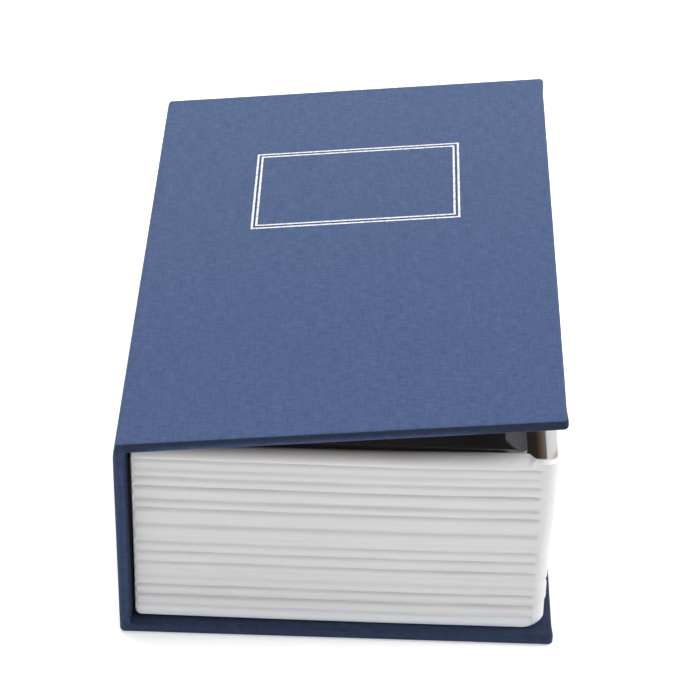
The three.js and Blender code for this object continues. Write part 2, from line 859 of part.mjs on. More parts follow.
function lockTurningParts() {
  const group = turningGroup(
    lock.x, lock.y, camTop,
    piece("lock_plug", lockPlug(), finishes.chrome()),
    piece("lock_cam", lockCam(), finishes.zinc()),
    piece("cam_screw", camScrew(), finishes.zinc()),
    ...Array.from({ length: waferCount }, (_, index) =>
      piece("lock_wafer_" + (index + 1), lockWafer(index), finishes.brass()),
    ),
  );
  group.rotation.z = radians(90); // unlocked: the cam lies along the lid, away from the flange
  return group;
}

function lidParts() {
  const group = turningGroup(
    pin.x, 0, pin.z,
    piece("safe_lid", safeLid(), finishes.greySteel()),
    piece("lock_body", lockBody(), finishes.chrome()),
    piece("lock_washer", lockWasher(), finishes.zinc()),
    piece("lock_nut", lockNut(), finishes.zinc()),
    lockTurningParts(),
  );
  group.rotation.y = -radians(coverAjarDegrees * lidTurnShare);
  return group;
}

function frontCoverParts() {
  const group = turningGroup(
    0, 0, bookThickness,
    piece("front_board", panelBoard(frontPanel), finishes.board()),
    piece("front_cover_cloth", panelCloth(frontPanel), finishes.cloth()),
    piece("front_endpaper", panelLining(frontPanel), finishes.paper()),
  );
  group.rotation.y = -radians(coverAjarDegrees);
  return group;
}

function fixedParts() {
  const screwPlace = box.floorTop + screwSeat;
  return [
    piece("spine_board", panelBoard(spinePanel), finishes.board()),
    piece("spine_cloth", panelCloth(spinePanel), finishes.cloth()),
    piece("spine_lining", panelLining(spinePanel), finishes.paper()),
    piece("back_board", panelBoard(backPanel), finishes.board()),
    piece("back_cover_cloth", panelCloth(backPanel), finishes.cloth()),
    piece("back_endpaper", panelLining(backPanel), finishes.paper()),
    piece("page_shell", pageShell(), finishes.plastic()),
    piece("safe_box", safeBox(), finishes.blackSteel()),
    piece("hinge_pin", hingePin(), finishes.zinc()),
    ...bossPlaces.map(([x, y], index) =>
      piece(
        "box_screw_" + (index + 1),
        screw(
          x, y, screwPlace, boxScrewRadius, boxScrewLength, boxScrewHeadRadius, boxScrewHeadHeight,
        ),
        finishes.zinc(),
      ),
    ),
  ];
}

const bookSafe = new THREE.Group();
bookSafe.add(...fixedParts(), frontCoverParts(), lidParts());
bookSafe.position.set(-bookWidth / 2, -bookHeight / 2, 0);

export default bookSafe;
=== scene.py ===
# Book safe: a cloth bound case round a ribbed page shell, with a steel box and a cam lock inside.
# +X runs from the spine to the fore edge, +Y from the tail to the head, +Z up.
# Shapes are worked out in millimetres from the spine, tail and underside of the closed book.

import bpy
import bmesh
import json
import math
from mathutils import Matrix, Vector, noise
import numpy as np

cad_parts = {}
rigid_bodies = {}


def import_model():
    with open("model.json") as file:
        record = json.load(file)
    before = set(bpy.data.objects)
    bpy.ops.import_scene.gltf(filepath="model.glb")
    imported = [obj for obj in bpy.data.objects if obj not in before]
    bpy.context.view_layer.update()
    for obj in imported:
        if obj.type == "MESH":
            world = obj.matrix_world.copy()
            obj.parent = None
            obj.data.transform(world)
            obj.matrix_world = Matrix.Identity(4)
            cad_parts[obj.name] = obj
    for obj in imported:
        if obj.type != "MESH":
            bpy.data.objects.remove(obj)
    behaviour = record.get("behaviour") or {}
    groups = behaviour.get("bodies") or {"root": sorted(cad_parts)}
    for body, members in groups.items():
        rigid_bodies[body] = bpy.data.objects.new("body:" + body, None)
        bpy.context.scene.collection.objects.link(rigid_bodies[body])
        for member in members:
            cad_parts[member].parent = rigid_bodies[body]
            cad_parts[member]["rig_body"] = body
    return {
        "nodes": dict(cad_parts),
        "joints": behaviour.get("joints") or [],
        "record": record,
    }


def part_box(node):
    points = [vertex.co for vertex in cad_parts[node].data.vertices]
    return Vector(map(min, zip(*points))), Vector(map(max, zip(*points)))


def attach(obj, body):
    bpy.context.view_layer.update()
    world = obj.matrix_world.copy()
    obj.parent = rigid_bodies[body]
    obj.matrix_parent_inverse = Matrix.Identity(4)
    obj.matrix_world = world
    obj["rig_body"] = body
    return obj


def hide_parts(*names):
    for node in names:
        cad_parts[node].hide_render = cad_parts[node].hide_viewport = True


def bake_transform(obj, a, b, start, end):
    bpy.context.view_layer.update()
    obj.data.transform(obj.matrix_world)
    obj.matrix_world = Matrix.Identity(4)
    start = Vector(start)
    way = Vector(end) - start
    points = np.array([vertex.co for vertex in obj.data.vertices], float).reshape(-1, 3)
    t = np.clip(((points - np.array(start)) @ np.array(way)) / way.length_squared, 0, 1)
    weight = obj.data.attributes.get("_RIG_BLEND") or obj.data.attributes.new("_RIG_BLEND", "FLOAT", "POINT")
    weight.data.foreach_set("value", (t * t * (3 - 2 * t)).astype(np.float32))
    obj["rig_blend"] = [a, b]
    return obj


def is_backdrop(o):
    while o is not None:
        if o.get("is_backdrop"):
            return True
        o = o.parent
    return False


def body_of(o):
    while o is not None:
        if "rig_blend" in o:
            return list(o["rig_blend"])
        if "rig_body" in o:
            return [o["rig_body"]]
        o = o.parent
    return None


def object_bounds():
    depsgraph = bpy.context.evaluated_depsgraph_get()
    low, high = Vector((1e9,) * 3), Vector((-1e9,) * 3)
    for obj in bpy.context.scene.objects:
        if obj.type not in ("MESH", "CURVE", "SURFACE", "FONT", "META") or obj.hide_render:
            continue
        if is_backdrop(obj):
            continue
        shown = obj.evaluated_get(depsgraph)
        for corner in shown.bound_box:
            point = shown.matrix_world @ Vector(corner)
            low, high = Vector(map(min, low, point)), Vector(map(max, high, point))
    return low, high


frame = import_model()
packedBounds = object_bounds()
print("frame loaded:", len(frame["nodes"]), "nodes")

mm = 0.001
quarterTurn = 90

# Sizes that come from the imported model, in millimetres

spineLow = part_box("spine_cloth")[0]
backLow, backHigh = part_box("back_cover_cloth")
shellLow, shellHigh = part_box("page_shell")
boxLow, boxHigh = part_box("safe_box")
coverHinge = next(j for j in frame["joints"] if j["name"] == "cover_hinge")
hingePoint = Vector(coverHinge["pos_m"])

book = {
    "width": (backHigh.x - spineLow.x) / mm,
    "height": (backHigh.y - backLow.y) / mm,
    "thickness": hingePoint.z / mm,
    "cover": (backHigh.z - backLow.z) / mm,
    "ajar": -coverHinge["range_deg"][0],
}
ajarTurn = (
    Matrix.Translation(hingePoint)
    @ Matrix.Rotation(math.radians(book["ajar"]), 4, Vector(coverHinge["axis"]))
    @ Matrix.Translation(-hingePoint)
)


def inFrame(x, y, z):  # a point of the closed book, in metres
    return Vector((spineLow.x + x * mm, spineLow.y + y * mm, z * mm))


def clamp(value, low, high):
    return max(low, min(high, value))


def smoothStep(value):
    t = clamp(value, 0, 1)
    return t * t * (3 - 2 * t)


def between(a, b, share):
    return a + (b - a) * share


def arcSteps(count):  # angles of a quarter turn, both ends included
    return [math.radians(quarterTurn * step / count) for step in range(count + 1)]


def linear(red, green, blue):  # a screen colour of 0 to 255, as light
    def channel(value):
        share = value / 255
        return share / 12.92 if share <= 0.04045 else ((share + 0.055) / 1.055) ** 2.4

    return (channel(red), channel(green), channel(blue), 1)


# Camera

view = {
    "place": (0.00569, -0.64611, 0.47061),
    "turnLeft": -0.407,
    "down": 34.178,
    "roll": 1.556,
    "lens": 139.92,
    "sensor": 36,
    "clipStart": 0.01,
}


def makeCamera(v):
    side, down, roll = (math.radians(v[key]) for key in ("turnLeft", "down", "roll"))
    forward = Vector((math.sin(side) * math.cos(down), math.cos(side) * math.cos(down), -math.sin(down)))
    level = Vector((math.cos(side), -math.sin(side), 0))
    above = level.cross(forward)
    right = level * math.cos(roll) + above * math.sin(roll)
    up = above * math.cos(roll) - level * math.sin(roll)
    data = bpy.data.cameras.new("studioCamera")
    data.lens = v["lens"]
    data.sensor_width = v["sensor"]
    data.clip_start = v["clipStart"]
    camera = bpy.data.objects.new("studioCamera", data)
    bpy.context.scene.collection.objects.link(camera)
    turn = Matrix((right, up, -forward)).transposed().to_4x4()
    camera.matrix_world = Matrix.Translation(v["place"]) @ turn
    bpy.context.scene.camera = camera


makeCamera(view)
bpy.context.scene.view_settings.view_transform = "Standard"
print("camera set")


# Shader maths: a wire is a socket that can be added, multiplied and so on

class Wire:
    def __init__(self, shader, socket):
        self.shader = shader
        self.socket = socket

    def sum(self, operation, a, b):
        return self.shader.add("ShaderNodeMath", {"operation": operation}, {0: a, 1: b})

    def __add__(self, other):
        return self.sum("ADD", self, other)

    def __radd__(self, other):
        return self.sum("ADD", other, self)

    def __sub__(self, other):
        return self.sum("SUBTRACT", self, other)

    def __rsub__(self, other):
        return self.sum("SUBTRACT", other, self)

    def __mul__(self, other):
        return self.sum("MULTIPLY", self, other)

    def __rmul__(self, other):
        return self.sum("MULTIPLY", other, self)

    def atLeast(self, other):
        return self.sum("MAXIMUM", self, other)

    def atMost(self, other):
        return self.sum("MINIMUM", self, other)


class Shader:
    def __init__(self, name, world=None):
        self.material = world or bpy.data.materials.new(name)
        self.material.use_nodes = True
        self.tree = self.material.node_tree
        self.tree.nodes.clear()

    def add(self, kind, settings=None, inputs=None, output=0):
        node = self.tree.nodes.new(kind)
        for name, value in (settings or {}).items():
            if name == "stops":
                self.setStops(node.color_ramp, value)
            else:
                setattr(node, name, value)
        for name, value in (inputs or {}).items():
            if isinstance(value, Wire):
                self.tree.links.new(value.socket, node.inputs[name])
            else:
                node.inputs[name].default_value = value
        return None if output is None else Wire(self, node.outputs[output])

    def setStops(self, ramp, stops):
        while len(ramp.elements) < len(stops):
            ramp.elements.new(0.5)
        for element, (place, value) in zip(ramp.elements, stops):
            element.position = place
            element.color = (value, value, value, 1)

    def place(self):  # where a point lies on the object, in millimetres
        spot = self.add("ShaderNodeTexCoord", output="Object")
        return self.scaled(spot, (1 / mm, 1 / mm, 1 / mm))

    def unrolled(self):  # where a point lies on the cloth before it was folded, in millimetres, and its painted edge shade
        return self.add("ShaderNodeAttribute", {"attribute_name": "unrolled"}, output="Vector")

    def scaled(self, vector, factors):
        return self.add("ShaderNodeVectorMath", {"operation": "MULTIPLY"}, {0: vector, 1: factors})

    def shifted(self, vector, offset):
        return self.add("ShaderNodeVectorMath", {"operation": "ADD"}, {0: vector, 1: offset})

    def part(self, vector, axis):
        return self.add("ShaderNodeSeparateXYZ", {}, {0: vector}, output=axis)

    def grain(self, vector, factors, detail=2, rough=0.5):
        return self.add(
            "ShaderNodeTexNoise",
            {"noise_dimensions": "3D"},
            {"Vector": self.scaled(vector, factors), "Scale": 1, "Detail": detail, "Roughness": rough},
        )

    def evenGrain(self, vector, size, detail=2, rough=0.5):
        return self.grain(vector, (size, size, size), detail, rough)

    def ramp(self, value, *stops):
        return self.add("ShaderNodeValToRGB", {"stops": stops}, {0: value})

    def rise(self, value, length):  # from 0 to 1 while the value goes from 0 to the length
        return self.ramp(value * (1 / length), (0, 0), (1, 1))

    def spread(self, grain, low, high):  # grain lies mostly between 0.3 and 0.7
        return self.ramp(grain, (0.3, low), (0.7, high))

    def mix(self, share, a, b, way="MIX"):
        return self.add(
            "ShaderNodeMix",
            {"data_type": "RGBA", "blend_type": way},
            {0: share, 6: a, 7: b},
            output=2,
        )

    def bump(self, height, distance, strength):
        return self.add("ShaderNodeBump", {}, {"Height": height, "Distance": distance, "Strength": strength})

    def finish(self, dull=None, **sockets):  # dull: share drawn by a copy with no sheen, a painted shade as in a narrow gap
        named = {key.replace("_", " "): value for key, value in sockets.items()}
        surface = self.add("ShaderNodeBsdfPrincipled", {}, named)
        if dull is not None:
            flat = {**named, "Sheen Weight": 0, "Specular IOR Level": 0}
            plain = self.add("ShaderNodeBsdfPrincipled", {}, flat)
            surface = self.add("ShaderNodeMixShader", {}, {0: dull, 1: surface, 2: plain})
        self.add("ShaderNodeOutputMaterial", {}, {"Surface": surface}, output=None)
        return self.material


# Finishes

foil = {  # the frame stamped on the front cover: two plain lines, one inside the other
    "outer": (29.5, 89.15, 101.15, 143.3),  # left, right, low and high, over the line
    "inner": (30.75, 87.86, 102.65, 141.88),
    "line": 0.62,
    "proud": 0.03,
    "sunk": 0.05,
    "edge": 0.04,
    "cornerRound": 0.08,
    "cornerSteps": 2,
    "spacing": 1,
    "wobble": 0.05,
    "wobblesPerMm": 0.9,
    "sidesApart": 9,  # so that the two sides of a line wobble on their own
}

clothLook = {
    "base": linear(67, 85, 123),
    "valley": linear(38, 55, 94),
    "bright": linear(90, 108, 148),
    "lint": linear(150, 162, 182),
    "turned": 0.72,  # painted shade: how much darker the cloth is drawn on its edges and turn-ins
    "dullReach": 0.2,  # past a painted shade of 1 the sheen is gone over this
    "threadLength": 0.28,  # turns per millimetre along a thread
    "threadWidth": 2.1,  # and across it
    "warpShare": 0.62,  # the threads that run across the book show more
    "weftShift": (31, 7, 3),
    "fineGrain": 4.5,
    "fineInTone": 0.2,
    "fineInHeight": 0.3,
    "contrast": 0.8,
    "cloudGrain": 0.045,
    "cloudStops": ((0.35, 0), (0.65, 1)),
    "cloudShare": 0.22,
    "lintGrain": 2.2,
    "lintShift": (3, 19, 5),
    "lintStops": ((0.775, 0), (0.8, 1)),
    "lintShare": 0.6,
    "pressed": linear(46, 58, 90),  # painted shade between and beside the foil lines, where they are pressed into the cloth
    "pressedShare": 0.55,
    "pressedReach": (0.2, 2.15),  # from the frame's outside edge, outward and inward
    "pressedEdge": 0.2,
    "headLight": (1.18, 1.17, 1.04, 1),  # painted light: the cloth is drawn lighter towards the head, where more light falls
    "headLightFrom": 40,
    "headLightReach": 130,
    "roughness": (0.9, 0.78),
    "bump": (0.06 * mm, 0.8),  # depth and strength
    "surface": {
        "Specular_IOR_Level": 0.25,
        "Sheen_Weight": 0.45,
        "Sheen_Roughness": 0.35,
        "Sheen_Tint": (0.42, 0.6, 1, 1),
    },
}


def bookCloth():
    look = clothLook
    s = Shader("bookCloth")
    spot = s.scaled(s.unrolled(), (1, 1, 0))
    along, across = look["threadLength"], look["threadWidth"]
    warp = s.grain(spot, (along, across, across), detail=3, rough=0.6)
    weft = s.grain(s.shifted(spot, look["weftShift"]), (across, along, across), detail=3, rough=0.6)
    fine = s.evenGrain(spot, look["fineGrain"])
    cloud = s.evenGrain(spot, look["cloudGrain"], detail=3, rough=0.55)
    thread = warp * look["warpShare"] + weft * (1 - look["warpShare"])
    tone = s.spread(thread * (1 - look["fineInTone"]) + fine * look["fineInTone"], 0, 1)
    colour = s.mix(tone * look["contrast"] + (1 - look["contrast"]) / 2, look["valley"], look["bright"])
    colour = s.mix(s.ramp(cloud, *look["cloudStops"]) * look["cloudShare"], colour, look["base"])
    lint = s.evenGrain(s.shifted(spot, look["lintShift"]), look["lintGrain"], detail=1)
    colour = s.mix(s.ramp(lint, *look["lintStops"]) * look["lintShare"], colour, look["lint"])
    height = thread * (1 - look["fineInHeight"]) + fine * look["fineInHeight"]
    # painted shade of the pressed band between and beside the foil lines
    left, right, low, high = foil["outer"]
    u, v, dark = (s.part(s.unrolled(), axis) for axis in range(3))
    within = (u - left).atMost(right - u).atMost((v - low).atMost(high - v))
    outward, inward = look["pressedReach"]
    pressed = s.rise(within + outward, look["pressedEdge"]) * s.rise(inward - within, look["pressedEdge"])
    colour = s.mix(pressed * look["pressedShare"], colour, look["pressed"])
    # painted light: lighter towards the head
    colour = s.mix(s.rise(v - look["headLightFrom"], look["headLightReach"]), colour, look["headLight"], "MULTIPLY")
    # painted shade: the cloth is drawn darker on its edges, and without sheen where that shade is deepest
    return s.finish(
        dull=s.rise(dark - 1, look["dullReach"]),
        Base_Color=s.mix(dark * look["turned"], colour, (0, 0, 0, 1)),
        Roughness=s.spread(thread, *look["roughness"]),
        Normal=s.bump(height, *look["bump"]),
        **look["surface"],
    )


foilLook = {
    "worn": linear(158, 168, 192),
    "clean": linear(240, 242, 246),
    "wornStops": ((0.36, 0), (0.5, 1)),
    "threadLength": 0.5,
    "threadWidth": 3.0,
    "bump": (0.04 * mm, 0.6),
    "surface": {"Roughness": 0.42, "Metallic": 0.25},
}


def foilSilver():
    look = foilLook
    s = Shader("foilSilver")
    spot = s.place()
    along, across = look["threadLength"], look["threadWidth"]
    thread = s.grain(spot, (along, across, across)) * 0.5 + s.grain(spot, (across, along, across)) * 0.5
    return s.finish(
        Base_Color=s.mix(s.ramp(thread, *look["wornStops"]), look["worn"], look["clean"]),
        Normal=s.bump(thread, *look["bump"]),
        **look["surface"],
    )


plasticLook = {
    "tones": (linear(230, 230, 232), linear(237, 236, 235)),
    "cloudGrain": (0.03, 0.03, 0.06),
    "skinGrain": 3.5,
    "roughness": (0.42, 0.52),
    "bump": (0.015 * mm, 0.5),
    "surface": {
        "Specular_IOR_Level": 0.4,
        "Subsurface_Weight": 0.35,
        "Subsurface_Radius": (1.0, 0.55, 0.35),
        "Subsurface_Scale": 1.6 * mm,
        "Emission_Strength": 1.0,
    },
}

glow = {  # painted light: emission that stands for the light which comes through the fore wall into the slot beside the steel box, and falls on its ledge
    "colour": (0.066, 0.039, 0.018, 1),
    "deep": (0.007, 0.008, 0.006, 1),
    "from": 52.2,
    "until": 53.0,
    "edge": 0.2,
    "wallEdge": 0.05,
    "top": 56.9,
    "bottom": 35,
    "rise": 14,
    "climb": ((0, 0), (0.3, 0.4), (1, 1)),
    "tail": -84,
    "reach": 12,
    "least": 0.2,  # beside the tail wall
    "ledge": (0.24, 0.235, 0.225, 1),
    "ledgeFrom": 51.5,
    "ledgeReach": 2,
    "ledgeEdge": 0.075,
}

rimShade = {  # painted shade: the top of the rim is drawn darker, as in the shade of the cover above it, fading out towards the fore end
    "colour": linear(158, 152, 146),
    "from": 54.9,
    "rise": 2.6,
    "until": 45,
    "fade": 30,
    "strength": 0.85,
}

# painted shade in and below the rib grooves
grooveShade = {"colour": linear(172, 170, 169), "share": 0.45}
# painted light: the plastic is drawn paler near the foot
footLight = {"colour": linear(248, 250, 255), "below": 9, "reach": 5}


def slotLight(s, x, y, z):  # painted light: emission for what the fore wall and its ledge let through
    g = glow
    wall = s.rise(x - g["from"], g["edge"]) * s.rise(g["top"] - z, g["edge"])
    wall = wall * s.rise(g["until"] - x, g["wallEdge"])
    low = s.ramp((z - g["bottom"]) * (1 / g["rise"]), *g["climb"])
    near = g["least"] + (1 - g["least"]) * s.rise(y - g["tail"], g["reach"])
    light = s.mix(wall * near, (0, 0, 0, 1), s.mix(low, g["deep"], g["colour"]))
    ledge = s.rise(z - g["top"], g["ledgeEdge"]) * s.rise(x - g["ledgeFrom"], g["ledgeReach"])
    return s.mix(ledge, light, g["ledge"])


def pagePlastic():
    look = plasticLook
    s = Shader("pagePlastic")
    spot = s.place()
    x, y, z = (s.part(spot, axis) for axis in range(3))
    skin = s.evenGrain(spot, look["skinGrain"])
    tone = s.mix(s.grain(spot, look["cloudGrain"]), *look["tones"])
    # painted shade along the top of the rim
    rim = s.rise(z - rimShade["from"], rimShade["rise"]) * s.rise(rimShade["until"] - x, rimShade["fade"])
    tone = s.mix(rim * rimShade["strength"], tone, rimShade["colour"])
    # painted shade in and below the rib grooves
    grooves = s.part(s.add("ShaderNodeAttribute", {"attribute_name": "soil"}, output="Vector"), 0)
    tone = s.mix(grooves * grooveShade["share"], tone, grooveShade["colour"])
    # painted light: paler near the foot
    tone = s.mix(s.rise(footLight["below"] - z, footLight["reach"]), tone, footLight["colour"])
    return s.finish(
        Base_Color=tone,
        Roughness=s.spread(skin, *look["roughness"]),
        Emission_Color=slotLight(s, x, y, z),
        Normal=s.bump(skin, *look["bump"]),
        **look["surface"],
    )


paperLook = {
    "tones": (linear(20, 21, 25), linear(36, 37, 42)),
    "grain": (0.8, 2.4, 2.4),
    "roughness": (0.72, 0.86),
    "bump": (0.03 * mm, 0.6),
    "shine": 0.35,
}
boardLook = {
    "tones": (linear(122, 116, 105), linear(160, 153, 140)),
    "grain": (1.2, 1.2, 5.0),
    "roughness": 0.95,
    "bump": (0.08 * mm, 0.7),
}


def liningPaper():
    s = Shader("liningPaper")
    fibre = s.grain(s.place(), paperLook["grain"], detail=4, rough=0.65)
    return s.finish(
        Base_Color=s.mix(fibre, *paperLook["tones"]),
        Roughness=s.spread(fibre, *paperLook["roughness"]),
        Specular_IOR_Level=paperLook["shine"],
        Normal=s.bump(fibre, *paperLook["bump"]),
    )


def greyBoard():
    s = Shader("greyBoard")
    fibre = s.grain(s.place(), boardLook["grain"], detail=4, rough=0.65)
    return s.finish(
        Base_Color=s.mix(fibre, *boardLook["tones"]),
        Roughness=boardLook["roughness"],
        Normal=s.bump(fibre, *boardLook["bump"]),
    )


boxLook = {
    "bare": linear(196, 196, 198),  # the paint is thin where the top sheet is cut
    "bareStops": ((0.55, 1), (0.9, 0)),  # from upright to level
    "peelStops": ((0.35, 0.6), (0.6, 1)),
    "above": 56.2,
    "edge": 0.1,
    "flange": (linear(158, 158, 160), linear(66, 66, 70)),  # painted light and shade: lighter at its inner edge, darker at its outer edge
    "flangeFrom": 42.5,
    "flangeTo": 48,
    "flangeStart": 42,
    "flangeEdge": 0.25,
    "outside": linear(24, 24, 26),  # the outside of the tail wall lies in the shade of the shell
    "outsideFrom": -80.7,
    "outsideEdge": 0.125,
    "outsideUntil": 44,
    "outsideFade": 2,
}
paintLook = {
    "boxTones": (linear(118, 118, 122), linear(130, 130, 134)),
    "lidTones": (linear(92, 92, 96), linear(104, 104, 108)),
    "peelGrain": 1.6,
    "cloudGrain": 0.05,
    "roughness": (0.34, 0.46),
    "bump": (0.05 * mm, 0.5),
    "surface": {
        "Specular_IOR_Level": 0.5,
        "Emission_Color": (0.0055, 0.0048, 0.0051, 1),  # a trace of light in the dark inside
        "Emission_Strength": 1.0,
    },
}


def powderCoat(name, tones, cut=None):  # cut: looks of the box where its top sheet is cut, with painted light and shade on its flange and painted shade on the outside of its tail wall
    look = paintLook
    s = Shader(name)
    spot = s.place()
    peel = s.evenGrain(spot, look["peelGrain"])
    colour = s.mix(s.evenGrain(spot, look["cloudGrain"], detail=3), *tones)
    if cut is not None:
        x, y, z = (s.part(spot, axis) for axis in range(3))
        top = s.rise(z - cut["above"], cut["edge"])
        # painted light and shade across the flange
        along = s.rise(x - cut["flangeFrom"], cut["flangeTo"] - cut["flangeFrom"])
        onFlange = top * s.rise(x - cut["flangeStart"], cut["flangeEdge"])
        colour = s.mix(onFlange, colour, s.mix(along, *cut["flange"]))
        upward = s.part(s.add("ShaderNodeNewGeometry", output="Normal"), 2)
        bare = s.ramp(upward, *cut["bareStops"]) * top
        colour = s.mix(bare * s.ramp(peel, *cut["peelStops"]), colour, cut["bare"])
        shaded = s.rise(cut["outsideFrom"] - y, cut["outsideEdge"])
        shaded = shaded * s.rise(cut["outsideUntil"] - x, cut["outsideFade"])
        colour = s.mix(shaded, colour, cut["outside"])
    return s.finish(
        Base_Color=colour,
        Roughness=s.spread(peel, *look["roughness"]),
        Normal=s.bump(peel, *look["bump"]),
        **look["surface"],
    )


metals = {  # name: darkest and brightest colour, lowest and highest roughness, grain each way
    "zincPlate": (linear(165, 167, 170), linear(196, 198, 200), 0.3, 0.42, (3, 3, 3)),
    "lockChrome": (linear(205, 207, 210), linear(220, 222, 224), 0.08, 0.16, (2, 2, 2)),
    "waferBrass": (linear(186, 148, 82), linear(205, 168, 98), 0.25, 0.38, (2, 8, 2)),
}
metalBump = (0.01 * mm, 0.4)


def plated(name):
    low, high, roughLow, roughHigh, lines = metals[name]
    s = Shader(name)
    brushed = s.grain(s.place(), lines, detail=3)
    return s.finish(
        Base_Color=s.mix(brushed, low, high),
        Metallic=1.0,
        Roughness=s.spread(brushed, roughLow, roughHigh),
        Normal=s.bump(brushed, *metalBump),
    )


finishes = {
    "book_cloth": bookCloth(),
    "foil": foilSilver(),
    "page_plastic": pagePlastic(),
    "lining_paper": liningPaper(),
    "board": greyBoard(),
    "box_steel": powderCoat("boxPaint", paintLook["boxTones"], boxLook),
    "lid_steel": powderCoat("lidPaint", paintLook["lidTones"]),
    "zinc_plate": plated("zincPlate"),
    "lock_chrome": plated("lockChrome"),
    "wafer_brass": plated("waferBrass"),
}
for part in frame["record"]["subparts"]:
    node = frame["nodes"][part["node"]]
    node.data.materials.clear()
    node.data.materials.append(finishes[part["material_slot"]])
print("finishes made:", len(finishes))


# Mesh making

def softShade(mesh, limitDegrees):
    bm = bmesh.new()
    bm.from_mesh(mesh)
    for face in bm.faces:
        face.smooth = True
    for edge in bm.edges:
        sharp = len(edge.link_faces) != 2 or edge.calc_face_angle() > math.radians(limitDegrees)
        edge.smooth = not sharp
    bm.to_mesh(mesh)
    bm.free()


def makePiece(name, mesh, body, slotName, replaced=(), finishName=None, limitDegrees=35):
    softShade(mesh, limitDegrees)
    piece = bpy.data.objects.new(name, mesh)
    bpy.context.scene.collection.objects.link(piece)
    mesh.materials.clear()
    mesh.materials.append(finishes[finishName or slotName])
    if body is not None:
        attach(piece, body)
    if replaced:
        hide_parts(*replaced)
    return piece


def bridged(bm, row, cornerPoints, acrossCount, alongCount):
    # fills a loop of loopOf with strips from its low side to its high side
    lowSide = row[cornerPoints:cornerPoints + acrossCount]
    start = 3 * cornerPoints + acrossCount + alongCount
    highSide = row[start:start + acrossCount][::-1]
    for k in range(acrossCount - 1):
        bm.faces.new((lowSide[k], lowSide[k + 1], highSide[k + 1], highSide[k]))
    bm.faces.new(row[cornerPoints + acrossCount - 1:start + 1])
    bm.faces.new(row[start + acrossCount - 1:] + row[:cornerPoints + 1])


def ringMesh(rings, closeFirst=True, closeLast=True, wraps=None, bridge=None, layer="unrolled"):
    # rings hold the same number of points each; points closer than apart (mm) become one
    apart = 0.002
    bm = bmesh.new()
    layer = bm.verts.layers.float_vector.new(layer)
    made = []
    for number, ring in enumerate(rings):
        row = [bm.verts.new(point) for point in ring]
        if wraps is not None and number < len(wraps):
            for vertex, spot in zip(row, wraps[number]):
                vertex[layer] = spot
        made.append(row)
    count = len(made[0])
    for inner, outer in zip(made, made[1:]):
        for k in range(count):
            n = (k + 1) % count
            bm.faces.new((inner[k], inner[n], outer[n], outer[k]))
    for row in (made[0],) * closeFirst + (made[-1],) * closeLast:
        if bridge is None:
            bm.faces.new(row)
        else:
            bridged(bm, row, *bridge)
    bmesh.ops.remove_doubles(bm, verts=bm.verts, dist=apart * mm)
    bmesh.ops.dissolve_degenerate(bm, edges=bm.edges, dist=apart * mm / 4)
    return bm


def finishMesh(bm, name):
    bmesh.ops.recalc_face_normals(bm, faces=bm.faces)
    mesh = bpy.data.meshes.new(name)
    bm.to_mesh(mesh)
    bm.free()
    return mesh


def loopOf(left, right, low, high, radii, stopsX, stopsY, cornerSteps):
    # a rounded rectangle, from its low left corner round, as (x, y, outward x, outward y)
    lowLeft, lowRight, highRight, highLeft = radii

    def corner(x, y, radius, start):
        turned = []
        for step in range(cornerSteps + 1):
            angle = math.radians(start + quarterTurn * step / cornerSteps)
            out = (math.cos(angle), math.sin(angle))
            turned.append((x + radius * out[0], y + radius * out[1], *out))
        return turned

    points = corner(left + lowLeft, low + lowLeft, lowLeft, 2 * quarterTurn)
    points += [(clamp(x, left + lowLeft, right - lowRight), low, 0, -1) for x in stopsX]
    points += corner(right - lowRight, low + lowRight, lowRight, 3 * quarterTurn)
    points += [(right, clamp(y, low + lowRight, high - highRight), 1, 0) for y in stopsY]
    points += corner(right - highRight, high - highRight, highRight, 0)
    points += [(clamp(x, left + highLeft, right - highRight), high, 0, 1) for x in reversed(stopsX)]
    points += corner(left + highLeft, high - highLeft, highLeft, quarterTurn)
    points += [(left, clamp(y, low + lowLeft, high - highLeft), -1, 0) for y in reversed(stopsY)]
    return points


def stops(start, end, coarse, fine, fineReach):
    # places from start to end, closer together within fineReach of either end
    reachStart, reachEnd = fineReach
    places = [start]
    while places[-1] < end:
        here = places[-1]
        near = here < start + reachStart or here > end - reachEnd
        places.append(here + (fine if near else min(coarse, max(fine, end - reachEnd - here))))
    return places[:-1]


# Cloth over the boards. A sleeve is drawn as loops in the unrolled cloth: u runs from the hinge
# line, v from the tail to the head, and depth goes in from the outside face. The loops spread from
# the middle of the outside face over the edges to the turn-ins, and come back along the inside.

